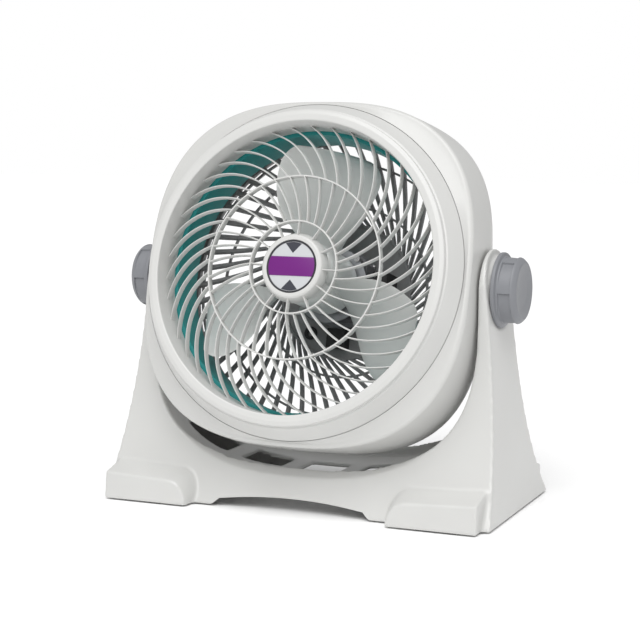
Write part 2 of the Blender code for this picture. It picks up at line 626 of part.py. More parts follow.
def build_electrics(mats, parent):
    """Run capacitor, speed switch with its nut, and the cord's gland."""
    plate_front = REAR_PLATE_REACH + PLATE_THICK
    mesh_object("run_capacitor", box((0.0420, -plate_front - 0.0300, -0.0170),
                                     (0.0540, -plate_front - GAP, 0.0170)),
                mats["black"], parent, smooth=False)
    half = 0.0095
    body = box((-half, -plate_front - 0.0150, -SWITCH_DROP - half),
               (half, -plate_front - GAP, -SWITCH_DROP + half))
    switch = mesh_object("speed_switch", body, mats["black"], parent, smooth=False)
    neck = axial_cylinder(SWITCH_NECK_R, REAR_PLATE_REACH - 0.0028, plate_front + 0.004,
                          0.0, -SWITCH_DROP, 16)
    stem = axial_cylinder(STEM_R, REAR_PLATE_REACH - 0.0090, plate_front + 0.002,
                          0.0, -SWITCH_DROP, 12)
    boolean(switch, mesh_object("switch_neck_tool", neck, parent=parent, smooth=False), "UNION")
    boolean(switch, mesh_object("switch_stem_tool", stem, parent=parent, smooth=False), "UNION")
    bore = (SWITCH_NECK_R + GAP) / math.cos(math.pi / 6)
    nut = turned([(bore, REAR_PLATE_REACH - GAP), (bore + 0.0027, REAR_PLATE_REACH - GAP),
                  (bore + 0.0027, REAR_PLATE_REACH - 0.0026), (bore, REAR_PLATE_REACH - 0.0026)],
                 6, closed_loop=True)
    bmesh.ops.translate(nut, verts=nut.verts, vec=Vector((0, 0, -SWITCH_DROP)))
    mesh_object("switch_nut", nut, mats["steel"], parent, smooth=False)
    gland = turned([(0.0034, REAR_PLATE_REACH - 0.0090), (0.0050, REAR_PLATE_REACH - 0.0090),
                    (0.0075, REAR_PLATE_REACH - 0.0030), (0.0075, REAR_PLATE_REACH - GAP),
                    (GLAND_NECK_R, REAR_PLATE_REACH - GAP), (GLAND_NECK_R, plate_front + GAP),
                    (0.0068, plate_front + GAP), (0.0068, plate_front + 0.0025),
                    (0.0034, plate_front + 0.0025)], 14, closed_loop=True)
    bmesh.ops.translate(gland, verts=gland.verts, vec=Vector((GLAND_XZ[0], 0, GLAND_XZ[1])))
    mesh_object("cord_gland", gland, mats["black"], parent)


def build_speed_dial(mat, parent):
    """Dial on the switch's stem; its origin is on the stem's axis."""
    front = REAR_PLATE_REACH - 0.0032
    back = front - DIAL_LENGTH
    bore = STEM_R + STEM_GAP
    bm = turned([(bore, front - 0.0002), (DIAL_R, front), (DIAL_R, front - 0.0030),
                 (DIAL_R - 0.0030, front - 0.0035), (DIAL_R - 0.0040, back + 0.0008),
                 (DIAL_R - 0.0052, back), (0.0010, back), (0.0010, back + 0.0060),
                 (bore, back + 0.0060)], 20, closed_loop=True)
    dial = mesh_object("speed_dial", bm, mat, parent)
    grip = box((-0.0020, -back - 0.0010, 0.0060), (0.0020, -back + 0.0040, DIAL_R - 0.0020))
    boolean(dial, mesh_object("dial_pointer_tool", grip, parent=parent, smooth=False), "UNION")
    dial.modifiers[0].object.location = dial.location = (0.0, 0.0, -SWITCH_DROP)
    return dial


# ---------------------------------------------------------------- rotor
def blade_edges(radius):
    """Angles of a blade's rear and front edges, and how far it is rounded off."""
    t = (radius - BLADE_MID_R) / BLADE_SPAN
    rear = math.radians(sum(c * t ** n for n, c in enumerate(REAR_EDGE)))
    front = math.radians(sum(c * t ** n for n, c in enumerate(FRONT_EDGE)))
    over = max(0.0, radius - (BLADE_R - BLADE_CORNER)) / BLADE_CORNER
    inset = BLADE_CORNER * (1 - math.sqrt(max(0.0, 1 - over * over))) / radius
    return rear + inset, front - inset


def blade(turn):
    """One twisted blade, closed all round, with its root inside the hub."""
    radii = spread(HUB_R - WALL / 2, BLADE_R - BLADE_CORNER, 5)
    radii += [BLADE_R - BLADE_CORNER * 0.3, BLADE_R - 0.0004]
    chord = 5
    top, under = [], []
    for r in radii:
        rear, front = blade_edges(r)
        wash = BLADE_WASH * (r - BLADE_MID_R) / BLADE_SPAN
        back_reach = BLADE_BACK + wash
        front_reach = BLADE_FRONT - wash
        row = []
        for i in range(chord):
            f = i / (chord - 1)
            lift = BLADE_CAMBER * math.sin(math.pi * f)
            row.append(head_point(r, turn + rear + (front - rear) * f,
                                  back_reach + (front_reach - back_reach) * f - lift))
        top.append([p + Vector((0, -BLADE_THICK / 2, 0)) for p in row])
        under.append([p + Vector((0, BLADE_THICK / 2, 0)) for p in row])
    return slab(top, under)


def build_rotor(mats, parent):
    """Shaft, rotor core, blade wheel and its nut."""
    shaft_back = MOTOR_BACK - BUSH_NOSE + 2 * GAP
    hub_back = MOTOR_FRONT + BUSH_NOSE + 0.0030
    hub_front = BLADE_FRONT + 0.0005
    shaft_front = hub_front + 0.0060
    mesh_object("motor_shaft", turned([(SHAFT_R, shaft_back), (SHAFT_R, shaft_front)], 24),
                mats["steel"], parent)
    mesh_object("rotor_core", turned([
        (SHAFT_R + GAP, STATOR_BACK), (ROTOR_R, STATOR_BACK), (ROTOR_R, STATOR_FRONT),
        (SHAFT_R + GAP, STATOR_FRONT)], 32, closed_loop=True), mats["lamination"], parent)
    hub = turned([(SHAFT_R + GAP, hub_back), (0.0095, hub_back), (0.0095, hub_front - 0.0060),
                  (HUB_R - WALL, hub_front - 0.0100), (HUB_R - WALL, hub_back), (HUB_R, hub_back),
                  (HUB_R, hub_front - 0.0080), (HUB_R - 0.0080, hub_front - 0.0010),
                  (HUB_R - 0.0140, hub_front), (SHAFT_R + GAP, hub_front)], 30, closed_loop=True)
    wheel = mesh_object("blade_wheel", hub, mats["blade"], parent)
    blades = merge(*[blade(BLADE_PHASE + math.tau * k / BLADES) for k in range(BLADES)])
    boolean(wheel, mesh_object("blades_tool", blades, parent=parent, smooth=False), "UNION")
    mesh_object("blade_nut", turned([
        (SHAFT_R + GAP, hub_front + GAP), (0.0100, hub_front + GAP), (0.0090, hub_front + 0.0090),
        (0.0060, hub_front + 0.0110), (0.0010, hub_front + 0.0110), (0.0010, shaft_front + GAP),
        (SHAFT_R + GAP, shaft_front + GAP)], 18, closed_loop=True), mats["knob"], parent)


# ---------------------------------------------------------------- knobs
def build_knob(name, side, mats, parent):
    """Clamping knob with a flange, grip panels and a dished face, and its bolt."""
    seat = SEAT_X + GAP
    face = SEAT_X + KNOB_LENGTH
    pocket_r, pocket = 0.0100, 0.0075
    knob = mesh_object("clamp_knob_" + name, turned_x([
        (BOLT_R + BOLT_GAP, seat + pocket), (pocket_r, seat + pocket), (pocket_r, seat),
        (KNOB_FLANGE_R, seat), (KNOB_FLANGE_R, seat + 0.0034),
        (KNOB_R + 0.0008, seat + 0.0050), (KNOB_R, face - 0.0050), (KNOB_R - 0.0030, face),
        (0.010, face - 0.0022)], side), mats["knob"], parent)
    grips = []
    for k in range(KNOB_GRIPS):
        grip = box((seat + 0.0075, -0.0100, KNOB_R - 0.0010), (face - 0.0070, 0.0100, KNOB_R + 0.0060))
        turn = Matrix.Rotation(math.tau * (k + 0.5) / KNOB_GRIPS, 4, "X")
        if side < 0:
            bmesh.ops.scale(grip, verts=grip.verts, vec=Vector((-1, 1, 1)))
        bmesh.ops.transform(grip, verts=grip.verts, matrix=turn)
        grips.append(grip)
    boolean(knob, mesh_object(name + "_grip_tool", merge(*grips), parent=parent, smooth=False),
            "DIFFERENCE")
    tip = HEAD_HALF - INSERT_LENGTH + 0.001
    thread_r = BOLT_R - BOLT_GAP / 2
    hex_head = [Vector((side * x, 0.0088 * math.cos(a), 0.0088 * math.sin(a)))
                for x in (seat + 0.0008, seat + pocket - GAP)
                for a in (math.tau * i / 6 for i in range(6))]
    bolt = mesh_object("knob_bolt_" + name, turned_x([(thread_r, tip), (thread_r, seat + 0.0040)], side, 20),
                       mats["steel"], parent)
    boolean(bolt, mesh_object(name + "_hex_tool", loft([hex_head[:6], hex_head[6:]]), parent=parent,
                              smooth=False), "UNION")


# ---------------------------------------------------------------- stand
def bezier(p0, p1, p2, p3, t):
    """A point on a cubic curve."""
    u = 1 - t
    return tuple(u ** 3 * a + 3 * u * u * t * b + 3 * u * t * t * c + t ** 3 * d
                 for a, b, c, d in zip(p0, p1, p2, p3))


def cradle(depth, half, steps=10):
    """Right half of the cradle curve, as (x, z) from the middle up the arm's inner face."""
    low = PIVOT_Z - depth
    p0, p1 = (0.0, low), (half * 0.77, low)
    p2, p3 = (half, low + depth * 0.185), (half, PIVOT_Z - 0.04)
    return [bezier(p0, p1, p2, p3, i / steps) for i in range(steps + 1)]


def void_outline(depth, half, top):
    """Closed outline of the open space between the arms, up to the height top."""
    right = cradle(depth, half)[1:] + [(half, top)]
    left = [(-x, z) for x, z in reversed(right)]
    return left + [(0.0, PIVOT_Z - depth)] + right


def arm_outer(z):
    """X of the arm's outer face at the height z."""
    return ARM_OUT + ARM_LEAN * (PIVOT_Z - z)


def flare(z, base_depth, power):
    """Depth of the stand from its middle plane at the height z."""
    drop = min(1.0, max(0.0, (PIVOT_Z - z) / PIVOT_Z))
    return ARM_TOP_R + (base_depth - ARM_TOP_R) * drop ** power


def half_depth(z):
    """Depth of the stand in front of the tilt axis at the height z."""
    return flare(z, BASE_HALF_DEPTH, FLARE_POWER)


def rear_depth(z):
    """Depth of the stand behind the tilt axis at the height z."""
    return flare(z, BASE_HALF_DEPTH + REAR_SPREAD, REAR_POWER)


def side_outline(inset, low, high_cap=None):
    """(y, z) outline of the stand seen from the side, drawn in by inset.

    An inset outline keeps inside both flares, so that the pads stay solid.
    """
    heights = spread(low, PIVOT_Z, 9)
    front = [(PIVOT_Y - half_depth(z) + inset, z) for z in heights]
    rear = [(PIVOT_Y + (min(half_depth(z), rear_depth(z)) if inset else rear_depth(z)) - inset, z)
            for z in heights]
    if high_cap is None:
        radius = ARM_TOP_R - inset
        top = [(PIVOT_Y - radius * math.cos(a), PIVOT_Z + radius * math.sin(a))
               for a in (math.pi * i / 12 for i in range(1, 12))]
    else:
        front, rear = ([(y, z) for y, z in side if z <= high_cap] for side in (front, rear))
        top = []
    return front + top + rear[::-1]


def pad(sx, sy):
    """A corner pad: a block whose front is smaller than its root."""
    root_y, face_y = BASE_HALF_DEPTH - 0.016, PAD_REACH
    root = [(PAD_INNER_X - 0.006, 0), (PAD_INNER_X + 0.001, 0.012), (PAD_INNER_X + 0.010, 0.024),
            (PAD_INNER_X + 0.026, PAD_HEIGHT + 0.0075), (PAD_OUTER_X, PAD_HEIGHT + 0.0095),
            (PAD_OUTER_X, 0)]
    face = [(PAD_INNER_X, 0), (PAD_INNER_X + 0.007, 0.011), (PAD_INNER_X + 0.016, 0.0185),
            (PAD_INNER_X + 0.029, PAD_HEIGHT - 0.005), (PAD_OUTER_X, PAD_HEIGHT - 0.002), (PAD_OUTER_X, 0)]
    rings = []
    for outline, y in ((root, root_y), (face, face_y)):
        rings.append([Vector((sx * x, PIVOT_Y + sy * (y - z * 0.12), FOOT_PROUD + z)) for x, z in outline])
    return loft(rings)


def foot_boxes(grow, low, high):
    """Four boxes at the rubber feet's places, grown sideways by grow."""
    (lx, ly, _), boxes = FOOT_SIZE, []
    x_mid = (PAD_INNER_X + PAD_OUTER_X) / 2 + 0.004
    y_mid = PAD_REACH - ly / 2 - 0.0045
    for sy in (-1, 1):
        for sx in (-1, 1):
            cx, cy = sx * x_mid, PIVOT_Y + sy * y_mid
            boxes.append(box((cx - lx / 2 - grow, cy - ly / 2 - grow, low),
                             (cx + lx / 2 + grow, cy + ly / 2 + grow, high)))
    return boxes


def build_stand(mats):
    """Hollow stand with a trough, two arms, corner pads and vents, on four feet."""
    top = PIVOT_Z + 0.06
    foot_x = arm_outer(0.0)
    outer_right = [(foot_x, FOOT_PROUD), (arm_outer(top), top), (ARM_IN, top)]
    cradle_right = cradle(FLOOR_DEPTH - RIM_RISE, ARM_IN)
    right = outer_right + cradle_right[::-1]
    outline = right + [(-x, z) for x, z in reversed(right[:-1])]
    stand = mesh_object("stand_shell", prism_y(outline, PIVOT_Y - 0.12, PIVOT_Y + 0.12), mats["shell"],
                        smooth=True)
    tools = [("stand_side", prism_x(side_outline(0.0, -0.004), -0.3, 0.3), "INTERSECT")]

    rim_depth = FLOOR_DEPTH - RIM_RISE
    rim = void_outline(rim_depth, ARM_IN, top)
    cut = void_outline(rim_depth + RIM_CHAMFER, ARM_IN, top)
    rim_y = half_depth(PIVOT_Z - rim_depth)
    for name, sy in (("front", -1), ("back", 1)):
        rings = [[Vector((x, PIVOT_Y + sy * y, z)) for x, z in shape] for shape, y in
                 ((rim, rim_y - RIM_CHAMFER * 1.4), (cut, rim_y + 0.0012), (cut, BASE_HALF_DEPTH + 0.02))]
        tools.append((name + "_rim", loft(rings), "DIFFERENCE"))
    floor = void_outline(FLOOR_DEPTH, ARM_IN, top)
    tools.append(("trough", prism_y(floor, PIVOT_Y - TROUGH_HALF, PIVOT_Y + TROUGH_HALF), "DIFFERENCE"))
    tools.append(("pads", merge(*[pad(sx, sy) for sx in (-1, 1) for sy in (-1, 1)]), "UNION"))

    cavity_top = PIVOT_Z - 0.075
    inner = [(x, z - WALL * 1.3) for x, z in cradle(FLOOR_DEPTH, ARM_IN + WALL * 0.8)
             if z - WALL * 1.3 < cavity_top]
    inner_right = [(foot_x - WALL, -0.01), (arm_outer(cavity_top) - WALL, cavity_top),
                   (inner[-1][0], cavity_top)] + inner[::-1]
    hollow = inner_right + [(-x, z) for x, z in reversed(inner_right[:-1])]
    cavity = mesh_object("cavity_tool", prism_y(hollow, PIVOT_Y - 0.12, PIVOT_Y + 0.12), smooth=False)
    boolean(cavity, mesh_object("cavity_side_tool", prism_x(side_outline(WALL, -0.02, PIVOT_Z), -0.3, 0.3),
                                smooth=False), "INTERSECT")
    tools.append(("cavity", cavity, "DIFFERENCE"))

    slots, ledges = [], []
    for k in range(VENTS):
        x = (k - (VENTS - 1) / 2) * VENT_PITCH
        lx, ly = VENT_SIZE[0] / 2, VENT_SIZE[1] / 2
        floor_z = min(z for cx, z in floor if abs(cx - x) < lx + 0.012)
        slots.append(box((x - lx + VENT_LEDGE, PIVOT_Y - ly + VENT_LEDGE, FOOT_PROUD + 0.002),
                         (x + lx - VENT_LEDGE, PIVOT_Y + ly - VENT_LEDGE, floor_z + 0.05)))
        ledges.append(box((x - lx, PIVOT_Y - ly, floor_z - WALL * 0.4),
                          (x + lx, PIVOT_Y + ly, floor_z + 0.05)))
    tools.append(("vents", merge(*slots), "DIFFERENCE"))

    arch = [(-ARCH_HALF, -0.01), (-ARCH_HALF, FOOT_PROUD), (-ARCH_HALF + 0.010, ARCH_HEIGHT * 0.6)]
    arch += [(x, ARCH_HEIGHT * (1 - 0.4 * (x / (ARCH_HALF - 0.010)) ** 2))
             for x in spread(-ARCH_HALF + 0.018, ARCH_HALF - 0.018, 9)]
    arch += [(ARCH_HALF - 0.010, ARCH_HEIGHT * 0.6), (ARCH_HALF, FOOT_PROUD), (ARCH_HALF, -0.01)]
    tools.append(("arch", prism_y(arch, PIVOT_Y - 0.13, PIVOT_Y + 0.13), "DIFFERENCE"))
    tools.append(("foot_seat", merge(*foot_boxes(GAP, -0.01, FOOT_SIZE[2] + GAP)), "DIFFERENCE"))
    boss_r = KNOB_FLANGE_R - 0.0040
    bosses = [cylinder_x(boss_r, side * (ARM_IN + 0.004), side * SEAT_X, PIVOT_Y, PIVOT_Z)
              for side in (-1, 1)]
    sinks = [cylinder_x(KNOB_FLANGE_R + KNOB_RIM_GAP, side * SEAT_X, side * (SEAT_X + 0.02), PIVOT_Y,
                        PIVOT_Z, 36) for side in (-1, 1)]
    tools.append(("knob_boss", merge(*bosses), "UNION"))
    tools.append(("knob_sink", merge(*sinks), "DIFFERENCE"))
    bolts = [cylinder_x(BOLT_R + 2 * BOLT_GAP, side * (ARM_IN - 0.004), side * (SEAT_X + 0.006),
                        PIVOT_Y, PIVOT_Z) for side in (-1, 1)]
    tools.append(("bolt_hole", merge(*bolts), "DIFFERENCE"))
    for name, tool, operation in tools:
        if isinstance(tool, bmesh.types.BMesh):
            tool = mesh_object(name + "_tool", tool, smooth=False)
        boolean(stand, tool, operation)

    places = ("front_left", "front_right", "rear_left", "rear_right")
    for name, bm in zip(places, foot_boxes(0.0, 0.0, FOOT_SIZE[2])):
        mesh_object("rubber_foot_" + name, bm, mats["rubber"], smooth=False)
    return stand


# ---------------------------------------------------------------- assembly
def build_all():
    """Clear the file and model every piece."""
    for obj in list(bpy.data.objects):
        bpy.data.objects.remove(obj, do_unlink=True)
    mats = {
        "shell": material("shell", (0.70, 0.70, 0.68), 0.38),
        "grille": material("grille", (0.74, 0.74, 0.72), 0.38),
        "charcoal": material("charcoal", (0.060, 0.060, 0.062), 0.50),
        "teal": material("teal", (0.012, 0.160, 0.165), 0.45),
        "blade": material("blade", (0.36, 0.37, 0.36), 0.35),
        "knob": material("knob", (0.27, 0.28, 0.30), 0.42),
        "badge": material("badge", (0.20, 0.015, 0.24), 0.30),
        "rubber": material("rubber", (0.030, 0.030, 0.030), 0.80),
        "black": material("black", (0.020, 0.020, 0.020), 0.45),
        "steel": material("steel", (0.60, 0.60, 0.60), 0.30, 1.0),
        "zinc": material("zinc", (0.45, 0.46, 0.48), 0.45, 1.0),
        "lamination": material("lamination", (0.22, 0.22, 0.23), 0.50, 1.0),
        "copper": material("copper", (0.55, 0.22, 0.10), 0.35, 1.0),
        "brass": material("brass", (0.62, 0.46, 0.18), 0.30, 1.0),
    }
    head = bpy.data.objects.new("head_frame", None)
    bpy.context.scene.collection.objects.link(head)
    head.location = (0.0, PIVOT_Y, PIVOT_Z)
    head.rotation_euler = (-REST_TILT, 0.0, 0.0)
    knobs = bpy.data.objects.new("knob_frame", None)
    bpy.context.scene.collection.objects.link(knobs)
    knobs.location = (0.0, PIVOT_Y, PIVOT_Z)

    build_stand(mats)
    build_housing(mats["shell"], head)
    build_front_grille(mats["grille"], head)
    build_badge(mats["badge"], head)
    build_duct(mats["teal"], head)
    build_rear_grille(mats["charcoal"], head)
    build_screws(mats, head)
    build_inserts(mats, head)
    build_motor(mats, head)
    build_electrics(mats, head)
    build_speed_dial(mats["black"], head)
    build_rotor(mats, head)
    for name, side in (("left", -1), ("right", 1)):
        build_knob(name, side, mats, knobs)


build_all()
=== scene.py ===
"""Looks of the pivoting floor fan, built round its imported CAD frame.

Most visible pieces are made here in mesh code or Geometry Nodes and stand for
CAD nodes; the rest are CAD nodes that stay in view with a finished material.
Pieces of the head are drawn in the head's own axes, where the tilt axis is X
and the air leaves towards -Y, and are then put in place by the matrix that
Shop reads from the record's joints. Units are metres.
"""

import json
import logging
import math
from collections.abc import Callable, Sequence
from dataclasses import dataclass, field
from enum import Enum

import bmesh
import bpy
import numpy as np
from mathutils import Matrix, Vector

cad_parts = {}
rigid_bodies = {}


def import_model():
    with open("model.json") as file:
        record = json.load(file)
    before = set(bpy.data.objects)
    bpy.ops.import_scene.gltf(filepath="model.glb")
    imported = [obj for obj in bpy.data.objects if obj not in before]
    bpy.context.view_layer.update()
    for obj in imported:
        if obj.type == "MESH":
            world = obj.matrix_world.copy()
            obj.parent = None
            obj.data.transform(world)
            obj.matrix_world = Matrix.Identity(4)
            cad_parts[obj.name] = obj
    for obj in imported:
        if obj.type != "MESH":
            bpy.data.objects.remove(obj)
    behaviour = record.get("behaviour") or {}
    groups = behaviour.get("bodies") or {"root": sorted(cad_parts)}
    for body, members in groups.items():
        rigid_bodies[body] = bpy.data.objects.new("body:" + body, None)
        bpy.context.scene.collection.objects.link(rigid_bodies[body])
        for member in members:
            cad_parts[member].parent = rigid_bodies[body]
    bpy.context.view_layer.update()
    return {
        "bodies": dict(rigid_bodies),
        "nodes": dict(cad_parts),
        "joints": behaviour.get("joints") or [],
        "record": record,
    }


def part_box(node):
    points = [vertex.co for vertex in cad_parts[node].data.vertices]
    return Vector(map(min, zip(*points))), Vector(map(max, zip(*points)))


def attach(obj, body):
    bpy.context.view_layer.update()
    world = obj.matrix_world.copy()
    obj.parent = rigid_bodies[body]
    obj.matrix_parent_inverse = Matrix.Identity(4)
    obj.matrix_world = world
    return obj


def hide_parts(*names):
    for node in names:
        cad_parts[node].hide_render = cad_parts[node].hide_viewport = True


LOG = logging.getLogger("fan")
SMOOTH_ANGLE = math.radians(32)

MERGE_GAP = 1e-6
BAR_ROUNDING = 0.35
BAR_FLAT = 0.6
BEVEL_ANGLE = math.radians(30)
COAT_ROUGHNESS = 0.12
RELIEF_DEPTH = 0.0004

Ring = np.ndarray
Profile = list[tuple[float, float]]
Mesh = bpy.types.Mesh
Tree = bpy.types.NodeTree


# ------------------------------------------------------------------ mesh code
def rounded(points: Sequence[tuple[float, float, float]], closed: bool = True, steps: int = 5) -> Profile:
    """Replace each corner of a profile by an arc.

    Args:
        points: (a, b, radius) for each corner, in order.
        closed: whether the last corner joins the first.
        steps: points on each arc.

    Returns:
        The rounded profile as (a, b) points.
    """
    out: Profile = []
    count = len(points)
    for i, (a, b, radius) in enumerate(points):
        here = np.array([a, b])
        if radius <= 0 or (not closed and i in (0, count - 1)):
            out.append((a, b))
            continue
        before = np.array(points[i - 1][:2]) - here
        after = np.array(points[(i + 1) % count][:2]) - here
        near, far = np.linalg.norm(before), np.linalg.norm(after)
        before, after = before / near, after / far
        half = math.acos(max(-1.0, min(1.0, float(before @ after)))) / 2
        run = min(radius / math.tan(half), 0.48 * near, 0.48 * far)
        start, end = here + before * run, here + after * run
        for k in range(steps + 1):
            t = k / steps
            point = (1 - t) ** 2 * start + 2 * t * (1 - t) * here + t * t * end
            out.append((float(point[0]), float(point[1])))
    return out


def bead(radius: float, half: float, back: float, front: float, rounding: tuple[float, float],
         steps: int) -> Profile:
    """Profile of a hoop with rounded edges.

    Args:
        radius: middle of the hoop.
        half: half of its width.
        back: reach of its rear edge.
        front: reach of its front edge.
        rounding: radii of its rear and front edges.
        steps: points on each arc.

    Returns:
        The profile as (radius, reach) points.
    """
    return rounded([(radius - half, back, rounding[0]), (radius + half, back, rounding[0]),
                    (radius + half, front, rounding[1]), (radius - half, front, rounding[1])], steps=steps)


def skin(rings: Sequence[Ring], loop: bool, caps: bool = True) -> Mesh:
    """Skin closed rings of points into a mesh with outward faces.

    Args:
        rings: arrays of shape (n, 3), all of the same length.
        loop: whether the last ring joins the first, as on a torus.
        caps: whether the end rings are filled when they don't join.

    Returns:
        The mesh, with its normals pointing outwards.
    """
    size, count = len(rings[0]), len(rings)
    faces = []
    for k in range(count if loop else count - 1):
        low, high = k * size, ((k + 1) % count) * size
        for i in range(size):
            j = (i + 1) % size
            faces.append((low + i, low + j, high + j, high + i))
    if caps and not loop:
        faces.append(tuple(range(size)))
        faces.append(tuple(range((count - 1) * size, count * size)))
    mesh = bpy.data.meshes.new("skin")
    mesh.from_pydata(np.concatenate(rings).tolist(), [], faces)
    outward(mesh)
    return mesh


def outward(mesh: Mesh) -> None:
    """Merge doubles and turn every face outwards.

    Args:
        mesh: the mesh, which is changed in place.
    """
    work = bmesh.new()
    work.from_mesh(mesh)
    bmesh.ops.remove_doubles(work, verts=work.verts, dist=MERGE_GAP)
    bmesh.ops.recalc_face_normals(work, faces=work.faces)
    work.to_mesh(mesh)
    work.free()


def around(count: int) -> np.ndarray:
    """Evenly spaced angles of one full turn."""
    return np.arange(count) * math.tau / count


def head_ring(radius: np.ndarray | float, angles: np.ndarray, reach: float) -> Ring:
    """A ring about the fan's axis, in the head's axes."""
    radii = np.broadcast_to(radius, angles.shape)
    return np.stack([radii * np.cos(angles), np.full(angles.shape, -reach), radii * np.sin(angles)], 1)


def lathe(profile: Profile, segments: int = 192, loop: bool = True) -> Mesh:
    """Turn (radius, reach) points about the fan's axis."""
    angles = around(segments)
    return skin([head_ring(r, angles, reach) for r, reach in profile], loop)


def lathe_x(profile: Profile, side: int, segments: int = 96, loop: bool = True) -> Mesh:
    """Turn (radius, x) points about the tilt axis, on the left or right side.

    Args:
        profile: the (radius, x) points, in order.
        side: -1 for the left and 1 for the right.
        segments: how many steps make one turn.
        loop: whether the last point joins the first.

    Returns:
        The turned mesh.
    """
    angles = around(segments)
    rings = [np.stack([np.full(angles.shape, side * x), r * np.cos(angles), r * np.sin(angles)], 1)
             for r, x in profile]
    return skin(rings, loop)


def bar(path: Sequence[tuple[float, float, float]], widths: Sequence[float], depth: float,
        front: float = 0.62) -> Mesh:
    """A moulded rib with rounded edges along a path about the fan's axis.

    Args:
        path: (radius, angle, reach) of the rib's front edge.
        widths: the rib's width at its back, at each point of the path.
        depth: how far the rib runs back.
        front: share of the width left at the front by the mould's draft.

    Returns:
        The rib as a closed mesh in the head's axes.
    """
    points = np.array([head_ring(r, np.array([a]), reach)[0] for r, a, reach in path])
    rings = []
    for i, (point, width) in enumerate(zip(points, widths)):
        along = points[min(i + 1, len(points) - 1)] - points[max(i - 1, 0)]
        side = np.cross(along, [0.0, 1.0, 0.0])
        side = side / np.linalg.norm(side) * width / 2
        back = np.array([0.0, depth, 0.0])
        soft = back * (BAR_ROUNDING * width / depth)
        inner = side * BAR_FLAT
        rings.append(np.array([
            point - inner * front, point + inner * front, point + side * front + soft,
            point + side + back - soft, point + inner + back, point - inner + back,
            point - side + back - soft, point - side * front + soft]))
    return skin(rings, loop=False)


def joined(parts: Sequence[Mesh]) -> Mesh:
    """Put several meshes into one.

    Args:
        parts: the meshes to put together.

    Returns:
        One mesh that holds them all.
    """
    work = bmesh.new()
    for part in parts:
        work.from_mesh(part)
    mesh = bpy.data.meshes.new("joined")
    work.to_mesh(mesh)
    work.free()
    return mesh


def block(low: Sequence[float], high: Sequence[float]) -> Mesh:
    """A box mesh between two corners, used as a cutter or as a core to be bevelled.

    Args:
        low: its lowest corner.
        high: its highest corner.

    Returns:
        The box as a closed mesh.
    """
    (x0, y0, z0), (x1, y1, z1) = low, high
    rings = [np.array([(x0, y0, z), (x1, y0, z), (x1, y1, z), (x0, y1, z)]) for z in (z0, z1)]
    return skin(rings, loop=False)


def evaluated(source: bpy.types.Object) -> Mesh:
    """Return the object's mesh with its modifiers applied, and remove the object.

    Args:
        source: an object that is no longer needed.

    Returns:
        Its evaluated mesh.
    """
    graph = bpy.context.evaluated_depsgraph_get()
    mesh = bpy.data.meshes.new_from_object(source.evaluated_get(graph))
    bpy.data.objects.remove(source, do_unlink=True)
    return mesh


def scratch(data: bpy.types.ID, name: str = "scratch") -> bpy.types.Object:
    """Link a new object for a mesh, a light or a camera.

    Args:
        data: what the object shows.
        name: its name.

    Returns:
        The linked object.
    """
    made = bpy.data.objects.new(name, data)
    bpy.context.scene.collection.objects.link(made)
    return made


def bevelled(mesh: Mesh, width: float, segments: int = 3) -> Mesh:
    """Round the sharp edges of a mesh.

    Args:
        mesh: a mesh with sharp edges.
        width: width of the rounding.
        segments: how many strips make it.

    Returns:
        The rounded mesh.
    """
    work = scratch(mesh)
    mod = work.modifiers.new("round", "BEVEL")
    mod.width = width
    mod.segments = segments
    mod.limit_method = "ANGLE"
    mod.angle_limit = BEVEL_ANGLE
    return evaluated(work)


# ----------------------------------------------------------------- node trees
def sockets(tree: Tree, side: str, kinds: dict[str, str]) -> None:
    """Add named sockets to one side of a node group."""
    for name, kind in kinds.items():
        tree.interface.new_socket(name=name, in_out=side, socket_type=f"NodeSocket{kind}")


def add_nodes(tree: Tree, *kinds: str) -> list[bpy.types.Node]:
    """Add one node of each kind to a tree."""
    return [tree.nodes.new(kind) for kind in kinds]


def preset(node: bpy.types.Node, values: dict[str, object]) -> None:
    """Set the values of a node's named inputs."""
    for name, value in values.items():
        node.inputs[name].default_value = value


def wire(tree: Tree, links: Sequence[tuple[bpy.types.Node, str, bpy.types.Node, str | int]]) -> None:
    """Join an output of one node to an input of another, for each row."""
    for source, output, target, into in links:
        tree.links.new(source.outputs[output], target.inputs[into])


def repeat_tree() -> Tree:
    """Build the node tree that turns one piece into a ring of them.

    Returns:
        A tree with the inputs Piece, Count, Start, Step and Material, whose
        copies turn about the Y axis and leave as real geometry.
    """
    tree = bpy.data.node_groups.new("repeat_around", "GeometryNodeTree")
    sockets(tree, "INPUT", {"Piece": "Geometry", "Count": "Int", "Start": "Float", "Step": "Float",
                            "Material": "Material"})
    sockets(tree, "OUTPUT", {"Ring": "Geometry"})
    given, result, points, index, angle, turn, place, real, paint = add_nodes(
        tree, "NodeGroupInput", "NodeGroupOutput", "GeometryNodePoints", "GeometryNodeInputIndex",
        "ShaderNodeMath", "ShaderNodeCombineXYZ", "GeometryNodeInstanceOnPoints",
        "GeometryNodeRealizeInstances", "GeometryNodeSetMaterial")
    angle.operation = "MULTIPLY_ADD"
    wire(tree, [
        (given, "Count", points, "Count"), (index, "Index", angle, 0), (given, "Step", angle, 1),
        (given, "Start", angle, 2), (angle, "Value", turn, "Y"), (points, "Points", place, "Points"),
        (given, "Piece", place, "Instance"), (turn, "Vector", place, "Rotation"),
        (place, "Instances", real, "Geometry"), (real, "Geometry", paint, "Geometry"),
        (given, "Material", paint, "Material"), (paint, "Geometry", result, "Ring")])
    return tree


